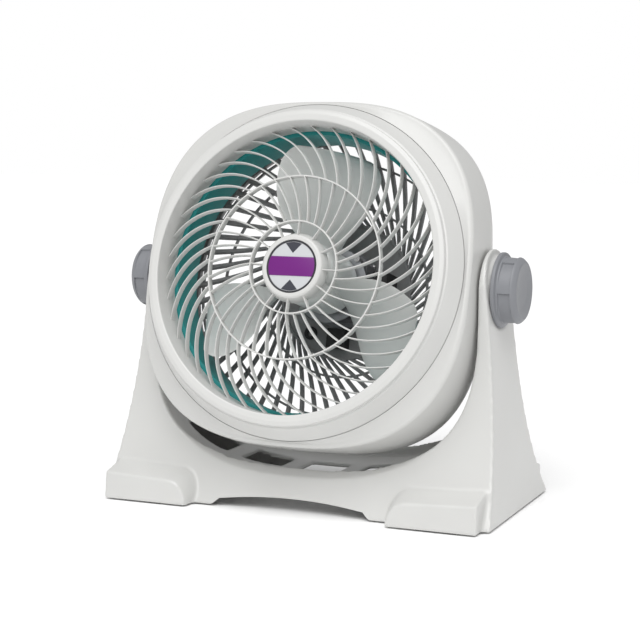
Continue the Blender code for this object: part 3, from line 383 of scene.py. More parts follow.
@dataclass
class Repeater:
    """Makes rings of equal pieces with one shared Geometry Nodes tree."""

    tree: Tree = field(default_factory=repeat_tree)

    def ring(self, piece: Mesh, count: int, material: bpy.types.Material,
             start: float = 0.0) -> Mesh:
        """Repeat a piece evenly about the fan's axis.

        Args:
            piece: one copy, in the head's axes.
            count: how many copies there are.
            material: the material that the tree sets.
            start: angle added to every copy, counter-clockwise from the front.

        Returns:
            All the copies as one plain mesh.
        """
        source = scratch(piece, "repeated")
        mod = source.modifiers.new("ring", "NODES")
        mod.node_group = self.tree
        values = {"Count": count, "Start": -start, "Step": -math.tau / count, "Material": material}
        for item in self.tree.interface.items_tree:
            if item.name in values and item.in_out == "INPUT":
                mod[item.identifier] = values[item.name]
        return evaluated(source)


# ------------------------------------------------------------------ materials
class Surface(Enum):
    """How a finish's fine surface is made."""

    SATIN = "satin"
    GRAINED = "grained"
    BRUSHED = "brushed"
    WOUND = "wound"


def surface_group(surface: Surface) -> Tree:
    """Build a shader node group that varies a colour and gives fine relief.

    Args:
        surface: the kind of relief.

    Returns:
        A group with the inputs Color, Shade, Scale, Roughness and Spread and
        the outputs Color, Roughness and Height.
    """
    tree = bpy.data.node_groups.new(f"{surface.value}_surface", "ShaderNodeTree")
    sockets(tree, "INPUT", {"Color": "Color", "Shade": "Float", "Scale": "Float", "Roughness": "Float",
                            "Spread": "Float"})
    sockets(tree, "OUTPUT", {"Color": "Color", "Roughness": "Float", "Height": "Float"})
    wound = surface is Surface.WOUND
    given, result, coords, stretch, cloud, fine, tone, tint, rough, centre = add_nodes(
        tree, "NodeGroupInput", "NodeGroupOutput", "ShaderNodeTexCoord", "ShaderNodeMapping",
        "ShaderNodeTexNoise", "ShaderNodeTexWave" if wound else "ShaderNodeTexNoise", "ShaderNodeMapRange",
        "ShaderNodeMix", "ShaderNodeMath", "ShaderNodeMath")
    preset(stretch, {"Scale": (1, 0.04, 1) if surface is Surface.BRUSHED else (1, 1, 1)})
    preset(cloud, {"Scale": 14.0, "Detail": 3.0})
    if wound:
        fine.wave_type = "RINGS"
        fine.rings_direction = "Y"
        preset(fine, {"Distortion": 0.6})
    else:
        preset(fine, {"Detail": 6.0 if surface is Surface.GRAINED else 2.0})
    preset(tone, {"From Min": 0.3, "From Max": 0.7, "To Max": 1.0})
    tint.data_type = "RGBA"
    tint.blend_type = "MULTIPLY"
    preset(tint, {"Factor": 1.0})
    rough.operation = "MULTIPLY_ADD"
    centre.operation = "SUBTRACT"
    centre.inputs[1].default_value = 0.5
    wire(tree, [
        (coords, "Object", stretch, "Vector"), (coords, "Object", cloud, "Vector"),
        (stretch, "Vector", fine, "Vector"), (given, "Scale", fine, "Scale"), (cloud, "Fac", tone, "Value"),
        (given, "Shade", tone, "To Min"), (given, "Color", tint, "A"), (tone, "Result", tint, "B"),
        (tint, "Result", result, "Color"), (fine, "Fac", centre, 0), (centre, "Value", rough, 0),
        (given, "Spread", rough, 1), (given, "Roughness", rough, 2), (rough, "Value", result, "Roughness"),
        (fine, "Fac", result, "Height")])
    return tree


@dataclass(frozen=True)
class Finish:
    """One finish of the fan: a colour with its own fine surface."""

    name: str
    slot: str
    color: tuple[float, float, float]
    roughness: float
    surface: Surface = Surface.SATIN
    metallic: float = 0.0
    shade: float = 0.97
    scale: float = 900.0
    spread: float = 0.06
    relief: float = 0.04
    coat: float = 0.0

    def build(self, groups: dict[Surface, Tree]) -> bpy.types.Material:
        """Make the material from the shared surface groups.

        Args:
            groups: the shader node group of each kind of surface.

        Returns:
            The finished material.
        """
        mat = bpy.data.materials.new(self.name)
        mat.use_nodes = True
        tree = mat.node_tree
        shader = tree.nodes["Principled BSDF"]
        group, bump = add_nodes(tree, "ShaderNodeGroup", "ShaderNodeBump")
        group.node_tree = groups[self.surface]
        preset(shader, {"Metallic": self.metallic, "Coat Weight": self.coat,
                        "Coat Roughness": COAT_ROUGHNESS})
        preset(group, {"Color": (*self.color, 1.0), "Shade": self.shade, "Scale": self.scale,
                       "Roughness": self.roughness, "Spread": self.spread})
        preset(bump, {"Strength": self.relief, "Distance": RELIEF_DEPTH})
        wire(tree, [(group, "Color", shader, "Base Color"), (group, "Roughness", shader, "Roughness"),
                    (group, "Height", bump, "Height"), (bump, "Normal", shader, "Normal")])
        return mat


class Paint(Enum):
    """The finishes that the fan's pieces take."""

    SHELL = Finish("warm_white_plastic", "shell", (0.60, 0.60, 0.585), 0.33, coat=0.12)
    GRILLE = Finish("grille_plastic", "grille", (0.625, 0.625, 0.61), 0.35, coat=0.10)
    # Rear grille grey: partly the plastic's own dark grey, partly painted shade for its place inside the
    # head.
    CHARCOAL = Finish("grey_plastic_painted_shade", "charcoal", (0.27, 0.27, 0.272), 0.42, Surface.GRAINED, relief=0.10)
    TEAL = Finish("teal_plastic", "teal", (0.010, 0.270, 0.265), 0.48)
    BLADE = Finish("blade_plastic", "blade", (0.78, 0.79, 0.775), 0.33, coat=0.15)
    KNOB = Finish("knob_plastic", "knob", (0.215, 0.221, 0.238), 0.46, Surface.GRAINED, relief=0.06)
    RIM = Finish("badge_rim", "badge", (0.035, 0.036, 0.042), 0.30)
    SILVER = Finish("badge_silver", "badge", (0.60, 0.615, 0.63), 0.36, Surface.BRUSHED, 0.15, relief=0.03)
    WEDGE = Finish("badge_wedge", "badge", (0.045, 0.047, 0.060), 0.34)
    BAND = Finish("badge_band", "badge", (0.150, 0.008, 0.185), 0.38)
    RUBBER = Finish("foot_rubber", "rubber", (0.030, 0.030, 0.030), 0.82, Surface.GRAINED, relief=0.25)
    BLACK = Finish("black_plastic", "black", (0.022, 0.022, 0.022), 0.45, Surface.GRAINED, relief=0.08)
    STEEL = Finish("bright_steel", "steel", (0.60, 0.60, 0.60), 0.28, Surface.BRUSHED, 1.0, relief=0.05)
    ZINC = Finish("zinc_plate", "zinc", (0.42, 0.43, 0.45), 0.44, Surface.BRUSHED, 1.0, relief=0.08)
    LAMINATION = Finish("laminated_steel", "lamination", (0.20, 0.20, 0.21), 0.50, Surface.BRUSHED, 1.0)
    COPPER = Finish("enamelled_copper", "copper", (0.52, 0.20, 0.085), 0.32, Surface.WOUND, 0.9, scale=420.0,
                    relief=0.7)
    BRASS = Finish("turned_brass", "brass", (0.62, 0.46, 0.18), 0.30, Surface.BRUSHED, 1.0)


@dataclass
class Shop:
    """What every sub-assembly needs: materials, the repeater and the frame."""

    frame: dict
    repeater: Repeater = field(default_factory=Repeater)
    materials: dict[Paint, bpy.types.Material] = field(default_factory=dict)

    def __post_init__(self) -> None:
        """Build every material from the shared groups."""
        groups = {surface: surface_group(surface) for surface in Surface}
        self.materials = {paint: paint.value.build(groups) for paint in Paint}

    def joint(self, name: str) -> dict:
        """The record's joint of that name."""
        return next(j for j in self.frame["record"]["behaviour"]["joints"] if j["name"] == name)

    def head_place(self) -> Matrix:
        """Matrix from the head's axes to the frame at rest.

        Returns:
            The matrix, from the joints that the record states.
        """
        pivot = Vector(self.joint("head_tilt")["pos_m"])
        back = Vector(self.joint("fan_spin")["axis"]).normalized()
        across = Vector((1, 0, 0))
        turn = Matrix((across, back, across.cross(back))).transposed()
        return Matrix.Translation(pivot) @ turn.to_4x4()

    def arm_place(self) -> Matrix:
        """Matrix from axes at the tilt axis, level with the floor, to the frame."""
        return Matrix.Translation(Vector(self.joint("head_tilt")["pos_m"]))

    def piece(self, name: str, mesh: Mesh, paint: Paint, body: str, place: Matrix,
              nodes: Sequence[str] = ()) -> bpy.types.Object:
        """Finish a mesh as a piece of the fan.

        Args:
            name: the piece's name.
            mesh: its mesh, in its own axes.
            paint: its finish.
            body: the CAD body it rides on.
            place: matrix from its own axes to the frame.
            nodes: CAD nodes that it stands for.

        Returns:
            The piece, at the origin, with its place in its mesh.
        """
        mesh.transform(place)
        mesh.name = name
        mesh.materials.clear()
        mesh.materials.append(self.materials[paint])
        mesh.polygons.foreach_set("material_index", [0] * len(mesh.polygons))
        mesh.shade_smooth()
        mesh.set_sharp_from_angle(angle=SMOOTH_ANGLE)
        made = scratch(mesh, name)
        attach(made, body)
        if nodes:
            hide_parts(*nodes)
        LOG.info("%s: %d faces", name, len(mesh.polygons))
        return made

    def dress(self, paint: Paint, *nodes: str) -> None:
        """Give CAD nodes that stay in view their finished material.

        Args:
            paint: the finish.
            nodes: names of the CAD nodes.
        """
        for node in nodes:
            mesh = self.frame["nodes"][node].data
            mesh.materials.clear()
            mesh.materials.append(self.materials[paint])


# ----------------------------------------------------------------- the head
@dataclass
class HeadShell:
    """Rounded-square housing of the head."""

    half: float = 0.1668
    squareness: float = 3.05
    front_squareness: float = 2.72
    collar_r: float = 0.1617
    collar_reach: float = 0.0618
    face_reach: float = 0.0575
    back: float = -0.0220
    taper: float = 0.0075
    wall: float = 0.0025
    seam: float = 0.0005
    edge: float = 0.0042
    flare: float = 0.0280
    flare_power: float = 2.2
    corner_power: float = 1.5
    dome_power: float = 1.3
    lip: float = 0.0060
    boss_r: float = 0.0108
    boss_bore: float = 0.0079
    boss_length: float = 0.0165
    segments: int = 288

    def square(self, half: float, angles: np.ndarray, power: float) -> np.ndarray:
        """Radius of the rounded square of this half-width in each direction."""
        c, s = np.abs(np.cos(angles)), np.abs(np.sin(angles))
        return half / (c ** power + s ** power) ** (1 / power)

    def mesh(self) -> Mesh:
        """Skin the shell from its rounded face edge back to its open rear.

        Returns:
            The shell, in the head's axes.
        """
        angles = around(self.segments)
        side = self.square(self.half, angles, self.squareness)
        front = self.square(self.half, angles, self.front_squareness)
        round_r = np.full(angles.shape, self.collar_r + self.seam)
        rings: list[Ring] = []
        back = self.square(self.half - self.taper, angles, self.squareness)
        for t in np.linspace(0, 1, 9):
            swell = 1 - (1 - t) ** self.flare_power
            rings.append(head_ring(back + (side - back) * swell, angles, self.back + t * self.flare))
        start, end = self.back + self.flare, self.face_reach - self.edge
        for t in np.linspace(0, 1, 9)[1:]:
            rings.append(head_ring(side + (front - side) * t ** self.corner_power, angles,
                                   start + (end - start) * t))
        for k in range(1, 6):
            a = math.pi / 2 * k / 6
            rings.append(head_ring(front - self.edge * (1 - math.cos(a)), angles,
                                   self.face_reach - self.edge * (1 - math.sin(a))))
        rim = front - self.edge
        for t in np.linspace(0, 1, 7):
            radius = rim + (round_r - rim) * t
            rise = (self.collar_reach - self.face_reach) * (t ** self.dome_power)
            rings.append(head_ring(radius, angles, self.face_reach + rise))
        for radius, reach in (
                (round_r, self.collar_reach - 0.0022), (round_r - self.lip, self.collar_reach - 0.0025),
                (round_r - self.lip, self.collar_reach - 0.0050),
                (front - self.wall, self.face_reach - 0.0065), (side - self.wall, start),
                (back - self.wall, self.back)):
            rings.append(head_ring(radius, angles, reach))
        return skin(rings, loop=True)

    def bosses(self) -> Mesh:
        """Round bosses inside the shell that carry the pivots' inserts.

        Returns:
            Both bosses, in the head's axes.
        """
        outer = self.half - self.wall + 0.0010
        inner = outer - self.boss_length
        profile = rounded([(self.boss_bore, inner, 0), (self.boss_r, inner, 0.001), (self.boss_r, outer, 0),
                           (self.boss_bore, outer, 0)])
        return joined([lathe_x(profile, side, 48) for side in (-1, 1)])

    def build(self, shop: Shop) -> None:
        """Add the shell to the head."""
        shop.piece("head_shell", joined([self.mesh(), self.bosses()]), Paint.SHELL, "head",
                   shop.head_place(), ["head_housing"])


@dataclass
class FrontGrille:
    """Lip, collar, wall, rings, boss, curved ribs and spokes."""

    inner_r: float = 0.1400
    lip_r: float = 0.1515
    lip_reach: float = 0.0862
    collar_r: float = 0.1617
    collar_reach: float = 0.0618
    wall_reach: float = 0.0535
    wall: float = 0.0022
    ring_reach: float = 0.0823
    middle_r: float = 0.0874
    centre_r: float = 0.0442
    ring_width: float = 0.0015
    rib_width: float = 0.0017
    rib_depth: float = 0.0075
    rib_wall_reach: float = 0.0683
    outer_count: int = 42
    inner_count: int = 36
    spoke_count: int = 12
    outer_start: float = math.radians(65.5)
    spoke_start: float = math.radians(87.5)
    outer_bow: float = 0.1637
    inner_bow: float = 0.230
    badge_r: float = 0.0251
    boss_rim: float = 0.0043
    boss_skirt: float = 0.0042
    boss_reach: float = 0.0845
    boss_bore: float = 0.0040
    badge_drop: float = 0.0018

    def collar(self) -> Mesh:
        """Turn the lip, collar and wall as one hollow section.

        Returns:
            The section, in the head's axes.
        """
        seat, under = self.collar_reach - 0.0020, self.lip_reach - 0.0045
        profile = rounded([
            (self.collar_r, seat, 0), (self.collar_r, self.collar_reach + 0.0004, 0.0008),
            (self.lip_r + 0.0009, self.lip_reach - 0.0062, 0.0010),
            (self.lip_r - 0.0008, self.lip_reach - 0.0057, 0),
            (self.lip_r - 0.0012, self.lip_reach - 0.0014, 0.0012),
            (self.lip_r - 0.0052, self.lip_reach, 0.0030), (self.inner_r, self.lip_reach, 0.0018),
            (self.inner_r - self.wall, self.wall_reach, 0.0005),
            (self.inner_r + 0.0002, self.wall_reach, 0.0003),
            (self.inner_r + self.wall, under, 0), (self.lip_r - 0.0042, under, 0),
            (self.collar_r - 0.0032, seat, 0)], steps=7)
        return lathe(profile, 288)

    def ring(self, radius: float) -> Mesh:
        """Turn one of the two rings that the ribs cross."""
        back = self.ring_reach - self.rib_depth
        return lathe(bead(radius, self.ring_width / 2, back, self.ring_reach, (0.0004, 0.0007), 3), 160)

    def boss(self) -> Mesh:
        """Turn the boss with its flat rim and conical skirt.

        Returns:
            The boss, in the head's axes.
        """
        outer = self.badge_r + self.boss_rim
        floor = self.boss_reach - self.badge_drop
        back = self.ring_reach - self.rib_depth - 0.001
        profile = rounded([
            (self.boss_bore, floor - 0.002, 0), (outer - 0.002, floor - 0.002, 0.0008),
            (outer + self.boss_skirt - 0.002, back, 0), (outer + self.boss_skirt, back, 0.0003),
            (outer + 0.0009, self.boss_reach - 0.0012, 0.0012), (outer - 0.0006, self.boss_reach, 0.0012),
            (self.badge_r + 0.0003, self.boss_reach, 0.0005), (self.badge_r + 0.0003, floor, 0),
            (self.boss_bore, floor, 0)], steps=5)
        return lathe(profile, 160)

    def outer_rib(self) -> Mesh:
        """One curved rib from the middle ring to the wall.

        Returns:
            The rib that the ring repeats, in the head's axes.
        """
        path = []
        turn = math.asin(self.middle_r / self.outer_bow)
        for r in np.linspace(self.middle_r - 0.0004, self.inner_r - 0.0006, 18):
            share = (r - self.middle_r) / (self.inner_r - self.middle_r)
            reach = self.ring_reach - 0.0001 - (self.ring_reach - self.rib_wall_reach) * max(0.0, share) ** 2
            path.append((r, math.asin(r / self.outer_bow) - turn, reach))
        return bar(path, [self.rib_width] * len(path), self.rib_depth - 0.0004)

    def inner_rib(self) -> Mesh:
        """One curved rib between the two rings.

        Returns:
            The rib that the ring repeats, in the head's axes.
        """
        turn = math.asin(self.centre_r / self.inner_bow)
        path = [(r, math.asin(r / self.inner_bow) - turn, self.ring_reach - 0.0002)
                for r in np.linspace(self.centre_r, self.middle_r, 12)]
        return bar(path, [self.rib_width] * len(path), self.rib_depth - 0.0008)

    def spoke(self) -> Mesh:
        """One straight spoke from the boss to the inner ring.

        Returns:
            The spoke that the ring repeats, in the head's axes.
        """
        start = self.badge_r + self.boss_rim
        path = [(r, 0.0, self.ring_reach - 0.0003) for r in np.linspace(start, self.centre_r, 4)]
        return bar(path, [self.rib_width] * len(path), self.rib_depth - 0.0012)

    def build(self, shop: Shop) -> None:
        """Add the grille to the head as one moulding.

        Args:
            shop: the materials, the repeater and the frame.
        """
        paint = shop.materials[Paint.GRILLE]
        ring = shop.repeater.ring
        parts = [
            self.collar(), self.ring(self.middle_r), self.ring(self.centre_r), self.boss(),
            ring(self.outer_rib(), self.outer_count, paint, self.outer_start),
            ring(self.inner_rib(), self.inner_count, paint, self.spoke_start),
            ring(self.spoke(), self.spoke_count, paint, self.spoke_start)]
        shop.piece("front_guard", joined(parts), Paint.GRILLE, "head", shop.head_place(), ["front_grille"])


@dataclass
class Badge:
    """Round badge with a plain band between two wedges."""

    radius: float = 0.0251
    rim: float = 0.0016
    face: float = 0.0842
    band_half: float = 0.0091
    wedge_tip: float = 0.0127
    wedge_spread: float = 0.36

    def flat(self, outline: Sequence[tuple[float, float]], low: float, high: float) -> Mesh:
        """Raise a flat (x, z) outline between two reaches."""
        return skin([np.array([(x, -reach, z) for x, z in outline]) for reach in (low, high)], loop=False)

    def arc(self, radius: float, start: float, end: float, count: int = 40) -> Profile:
        """Points on a circle from one angle to another."""
        return [(radius * math.cos(a), radius * math.sin(a)) for a in np.linspace(start, end, count)]

    def build(self, shop: Shop) -> None:
        """Add the rim, the silver face, the wedges and the band.

        Args:
            shop: the materials, the repeater and the frame.
        """
        place = shop.head_place()
        inner = self.radius - self.rim
        low = self.face - 0.0009
        rim = lathe(rounded([
            (inner, low, 0), (self.radius, low, 0), (self.radius, self.face + 0.0002, 0.0003),
            (inner, self.face, 0.0003)], steps=3), 128)
        shop.piece("badge_rim", rim, Paint.RIM, "head", place, ["hub_badge"])
        disc = self.flat(self.arc(inner + 0.0002, 0, math.tau * 127 / 128, 128), self.face - 0.0010,
                         self.face - 0.0004)
        shop.piece("badge_face", disc, Paint.SILVER, "head", place)
        wedges = []
        for sign in (-1, 1):
            edge = self.arc(inner - 0.0004, sign * (math.pi / 2 - self.wedge_spread),
                            sign * (math.pi / 2 + self.wedge_spread), 16)
            outline = [(0.0, sign * self.wedge_tip)] + edge
            wedges.append(self.flat(outline, self.face - 0.0006, self.face - 0.00025))
        shop.piece("badge_wedges", joined(wedges), Paint.WEDGE, "head", place)
        swing = math.asin(self.band_half / inner)
        right = self.arc(inner, -swing, swing, 14)
        outline = right + [(-x, z) for x, z in reversed(right)]
        band = bevelled(self.flat(outline, self.face - 0.0008, self.face + 0.00015), 0.00025, 2)
        shop.piece("badge_band", band, Paint.BAND, "head", place)


@dataclass
class Duct:
    """Coloured ring round the blades."""

    radius: float = 0.1345
    wall: float = 0.0022
    front: float = 0.0530
    back: float = 0.0115
    flange_r: float = 0.1542
    flange: float = 0.0030

    def build(self, shop: Shop) -> None:
        """Add the duct to the head.

        Args:
            shop: the materials, the repeater and the frame.
        """
        outer, under = self.radius + self.wall, self.front - self.flange
        profile = rounded([
            (self.radius, self.front, 0.0008), (self.radius, self.back, 0.0008), (outer, self.back, 0.0008),
            (outer, under, 0.0004), (self.flange_r, under, 0.0004), (self.flange_r, self.front, 0.0004)],
            steps=4)
        shop.piece("air_duct", lathe(profile, 224), Paint.TEAL, "head", shop.head_place(), ["duct_ring"])


@dataclass
class RearGrille:
    """Spiral bars, rings, rim and motor plate behind the blades."""

    shell: HeadShell
    count: int = 54
    plate_r: float = 0.0700
    open_r: float = 0.1520
    tangent_r: float = 0.0580
    plate_reach: float = -0.0580
    rim_reach: float = -0.0270
    root: float = 0.0036
    tip: float = 0.0062
    depth: float = 0.0060
    start: float = 0.02
    rim_round: float = 0.0065
    rim_depth: float = 0.0070
    hoop_half: float = 0.0011
    hoop_depth: float = 0.0036
    plate_bore: float = 0.0045
    plate_thick: float = 0.0030
    rings: tuple[float, ...] = (0.0870, 0.1280, 0.1470)

    def reach(self, radius: float) -> float:
        """Back of the domed grille at this radius."""
        share = (radius - self.plate_r) / (self.open_r - self.plate_r)
        return self.plate_reach + (self.rim_reach - self.plate_reach) * max(0.0, share) ** 2

    def one_bar(self) -> Mesh:
        """One straight bar, tangent to a circle round the motor.

        Returns:
            The bar that the ring repeats, in the head's axes.
        """
        radii = np.linspace(self.plate_r - 0.0010, self.open_r - 0.0006, 10)
        path = [(r, math.acos(self.tangent_r / r), self.reach(r) + self.depth - 0.0004) for r in radii]
        return bar(path, np.linspace(self.root, self.tip, len(path)), self.depth - 0.0008, 0.85)

    def rim(self) -> Mesh:
        """Skin the rounded-square rim with its round mouth.

        Returns:
            The rim, in the head's axes.
        """
        angles = around(self.shell.segments)
        half, power = self.shell.half - self.shell.taper, self.shell.squareness
        back = self.shell.back - 0.0004
        mouth = np.full(angles.shape, self.open_r - 0.0018)
        rings = []
        for k in range(8):
            a = math.pi / 2 * k / 7
            side = self.shell.square(half - self.rim_round * (1 - math.cos(a)), angles, power)
            rings.append(head_ring(side, angles, back - self.rim_depth * math.sin(a)))
        side = self.shell.square(half - self.rim_round, angles, power)
        for t, drop in ((0.45, 0.0006), (0.85, 0.0002), (0.97, -0.0004), (1.0, -0.0014)):
            rings.append(head_ring(side + (mouth - side) * t, angles, back - self.rim_depth - drop))
        rings.append(head_ring(mouth, angles, back))
        return skin(rings, loop=True)

    def hoop(self, radius: float) -> Mesh:
        """One ring that ties the bars together."""
        front = self.reach(radius) + self.depth - 0.0010
        return lathe(bead(radius, self.hoop_half, front - self.hoop_depth, front, (0.0005, 0.0005), 2), 144)

    def plate(self) -> Mesh:
        """Turn the dished plate that the motor is screwed to.

        Returns:
            The plate, in the head's axes.
        """
        back, inside = self.plate_reach, self.plate_reach + self.plate_thick
        profile = rounded([
            (self.plate_bore, back, 0.0005), (0.0200, back, 0.0010), (0.0210, back + 0.0006, 0.0010),
            (self.plate_r - 0.0120, back + 0.0006, 0.0010), (self.plate_r - 0.0110, back, 0.0010),
            (self.plate_r, back, 0.0018), (self.plate_r, back + self.depth, 0.0006),
            (self.plate_r - 0.0025, back + self.depth, 0.0006), (self.plate_r - 0.0025, inside, 0.0006),
            (self.plate_bore, inside, 0.0005)], steps=4)
        return lathe(profile, 160)

    def build(self, shop: Shop) -> None:
        """Add the grille to the head.

        Args:
            shop: the materials, the repeater and the frame.
        """
        # The bars, rim and plate take the grey that holds painted shade from inside the head.
        bars = shop.repeater.ring(self.one_bar(), self.count, shop.materials[Paint.CHARCOAL], self.start)
        parts = [bars, self.rim(), self.plate()] + [self.hoop(r) for r in self.rings]
        shop.piece("rear_guard", joined(parts), Paint.CHARCOAL, "head", shop.head_place(), ["rear_grille"])


@dataclass
class Motor:
    """Open-frame motor seen through the ribs and the rear bars."""

    half: float = 0.0330
    back: float = -0.0430
    length: float = 0.0220
    coil: float = 0.0060
    plates: int = 22
    corner: float = 0.72
    plate_step: float = 0.0004
    plate_share: float = 0.92
    gap: float = 0.0003
    ties: int = 4
    bore: float = 0.0168

    def stack(self) -> Mesh:
        """Stack thin plates with cut corners, every second one a little smaller.

        Returns:
            The stack, in the head's axes.
        """
        c = self.corner
        shape = [(-1, -c), (-c, -1), (c, -1), (1, -c), (1, c), (c, 1), (-c, 1), (-1, c)]
        pitch = self.length / self.plates
        rings = []
        for k in range(self.plates):
            half = self.half - (self.plate_step if k % 2 else 0.0)
            for reach in (self.back + k * pitch, self.back + (k + self.plate_share) * pitch):
                rings.append(np.array([(x * half, -reach, z * half) for x, z in shape]))
        return skin(rings, loop=False)

    def winding(self, back: float) -> Mesh:
        """Turn one winding and pinch it where it is tied.

        Args:
            back: reach of its rear.

        Returns:
            The winding, in the head's axes.
        """
        angles = around(144)
        inner, outer = self.bore + 0.001, self.half * 0.84
        section = [(inner, back, 0.002), (outer, back, 0.0025), (outer + 0.001, back + self.coil, 0.0025),
                   (inner, back + self.coil, 0.002)]
        middle = back + self.coil / 2
        rings = []
        for r, reach in rounded(section, steps=5):
            pinch = 1 - 0.10 * np.abs(np.cos(angles * self.ties)) ** 24
            rings.append(head_ring(inner + (r - inner) * pinch, angles, middle + (reach - middle) * 0.96))
        return skin(rings, loop=True)

    def build(self, shop: Shop) -> None:
        """Add the laminations and the windings, and dress the rest.

        Args:
            shop: the materials, the repeater and the frame.
        """
        place = shop.head_place()
        shop.piece("laminations", self.stack(), Paint.LAMINATION, "head", place, ["stator_core"])
        for end, low in (("rear", self.back - self.coil - self.gap),
                         ("front", self.back + self.length + self.gap)):
            shop.piece(f"{end}_winding", self.winding(low), Paint.COPPER, "head", place, [f"winding_{end}"])
        shop.dress(Paint.ZINC, "motor_bracket_front", "motor_bracket_rear")
        shop.dress(Paint.BRASS, "bush_front", "bush_rear")
        shop.dress(Paint.LAMINATION, "rotor_core")
        shop.dress(Paint.STEEL, "motor_shaft", *(f"motor_bolt_{k}" for k in range(1, 5)))


@dataclass
class BladeWheel:
    """Three wide blades on a hub, with the nut in front."""

    tip_r: float = 0.1256
    hub_r: float = 0.0310
    thick: float = 0.0022
    front: float = 0.0590
    back: float = -0.0010
    corner: float = 0.0140
    start: float = math.radians(89.0)
    count: int = 3
    mid_r: float = 0.0800
    span: float = 0.0400
    rear_edge: tuple[float, ...] = (-25.2, -4.5, 5.2, 1.5)
    front_edge: tuple[float, ...] = (26.6, -3.5, -8.8, 3.9)
    wash: float = 0.0050
    camber: float = 0.0050
    edge_half: float = 0.00015
    bore: float = 0.0043
    hub_back: float = -0.0062
    hub_front: float = 0.0595

    def edges(self, radius: float) -> tuple[float, float]:
        """Angles of a blade's rear and front edges at this radius.

        Args:
            radius: distance from the fan's axis.

        Returns:
            The two angles, in radians.
        """
        t = (radius - self.mid_r) / self.span
        rear, front = (math.radians(sum(k * t ** power for power, k in enumerate(edge)))
                       for edge in (self.rear_edge, self.front_edge))
        over = max(0.0, radius - (self.tip_r - self.corner)) / self.corner
        inset = self.corner * (1 - math.sqrt(max(0.0, 1 - over * over))) / radius
        return rear + inset, front - inset

    def blade(self) -> Mesh:
        """Skin one twisted blade with rounded edges.

        Returns:
            The blade that the ring repeats, in the head's axes.
        """
        ramp = np.linspace(0, 1, 30)
        radii = list(np.linspace(self.hub_r - 0.0012, self.tip_r - self.corner, 16))
        radii += [self.tip_r - self.corner * (1 - math.sin(a)) for a in np.linspace(0.1, math.pi / 2, 9)]
        rings = []
        for r in radii:
            rear, front = self.edges(r)
            wash = self.wash * (r - self.mid_r) / self.span
            low, high = self.back + wash, self.front - wash
            left = min(1.0, (self.tip_r + 0.0004 - r) / 0.004)
            upper, under = [], []
            for f in ramp:
                angle = rear + (front - rear) * f
                reach = low + (high - low) * f - self.camber * math.sin(math.pi * f)
                full = math.sqrt(max(0.0, 1 - abs(2 * f - 1) ** 6)) * math.sqrt(left)
                half = self.thick / 2 * full + self.edge_half
                point = np.array([r * math.cos(angle), -reach, r * math.sin(angle)])
                upper.append(point - [0, half, 0])
                under.append(point + [0, half, 0])
            rings.append(np.array(upper + under[::-1]))
        return skin(rings, loop=False)

    def hub(self) -> Mesh:
        """Turn the hub, hollow behind and rounded in front.

        Returns:
            The hub, in the head's axes.
        """
        r, back, front = self.hub_r, self.hub_back, self.hub_front
        profile = rounded([
            (self.bore, back, 0), (0.0095, back, 0.0008), (0.0095, front - 0.006, 0.001),
            (r - 0.0025, front - 0.010, 0.002), (r - 0.0025, back, 0.0006), (r, back, 0.0008),
            (r, front - 0.0050, 0.008), (r - 0.0140, front, 0.006), (self.bore, front, 0.0004)], steps=7)
        return lathe(profile, 128)

    def build(self, shop: Shop) -> None:
        """Add the wheel and its nut to the rotor.

        Args:
            shop: the materials, the repeater and the frame.
        """
        place = shop.head_place()
        blades = shop.repeater.ring(self.blade(), self.count, shop.materials[Paint.BLADE], self.start)
        shop.piece("wheel", joined([blades, self.hub()]), Paint.BLADE, "rotor", place, ["blade_wheel"])
        low = self.hub_front + 0.0003
        nut = lathe(rounded([
            (self.bore, low, 0), (0.0100, low, 0.0006), (0.0090, low + 0.0087, 0.0025),
            (0.0012, low + 0.0107, 0.0004), (0.0012, low + 0.0063, 0), (self.bore, low + 0.0063, 0)],
            steps=5), 64)
        shop.piece("wheel_nut", nut, Paint.KNOB, "rotor", place, ["blade_nut"])


@dataclass
class RearControls:
    """Speed dial, cord gland and screws at the back of the head."""

    drop: float = 0.0490
    front: float = -0.0612
    length: float = 0.0130
    radius: float = 0.0150
    flutes: int = 24
    flute_depth: float = 0.0005
    bore: float = 0.0034
    bore_depth: float = 0.0060

    def dial(self) -> Mesh:
        """Turn the dial with a fluted grip.

        Returns:
            The dial, about its own axis.
        """
        angles = around(self.flutes * 8)
        grip = self.radius - 0.0037
        flute = self.flute_depth * np.abs(np.cos(angles * self.flutes / 2))
        back = self.front - self.length
        rings = [head_ring(self.bore, angles, self.front - 0.0002)]
        for r, reach, waved in rounded_with_flag([
                (self.radius, self.front, 0.0006, 0), (self.radius, self.front - 0.0030, 0.0008, 0),
                (grip, self.front - 0.0036, 0.0004, 1), (grip, back + 0.0006, 0.0012, 1),
                (grip - 0.0020, back + 0.0002, 0.0004, 0)]):
            rings.append(head_ring(r - flute * waved, angles, reach))
        for r, depth in ((0.0012, 0.0004), (0.0012, self.bore_depth), (self.bore, self.bore_depth)):
            rings.append(head_ring(r, angles, back + depth))
        return skin(rings, loop=True)

    def pointer(self) -> Mesh:
        """The raised line that shows the setting.

        Returns:
            The line, in the dial's axes.
        """
        back = self.front - self.length
        low, high = (-0.0007, -back - 0.0020, 0.0040), (0.0007, -back + 0.00015, self.radius - 0.0058)
        return bevelled(block(low, high), 0.0003, 2)

    def build(self, shop: Shop) -> None:
        """Add the dial and dress the pieces beside it.

        Args:
            shop: the materials, the repeater and the frame.
        """
        place = shop.head_place() @ Matrix.Translation((0, 0, -self.drop))
        shop.piece("dial_cap", self.dial(), Paint.BLACK, "dial", place, ["speed_dial"])
        shop.piece("dial_line", self.pointer(), Paint.GRILLE, "dial", place)
        shop.dress(Paint.BLACK, "cord_gland", "run_capacitor", "speed_switch")
        shop.dress(Paint.STEEL, "switch_nut", *(f"grille_screw_{k}" for k in range(1, 5)),
                   *(f"mount_screw_{k}" for k in range(1, 4)))


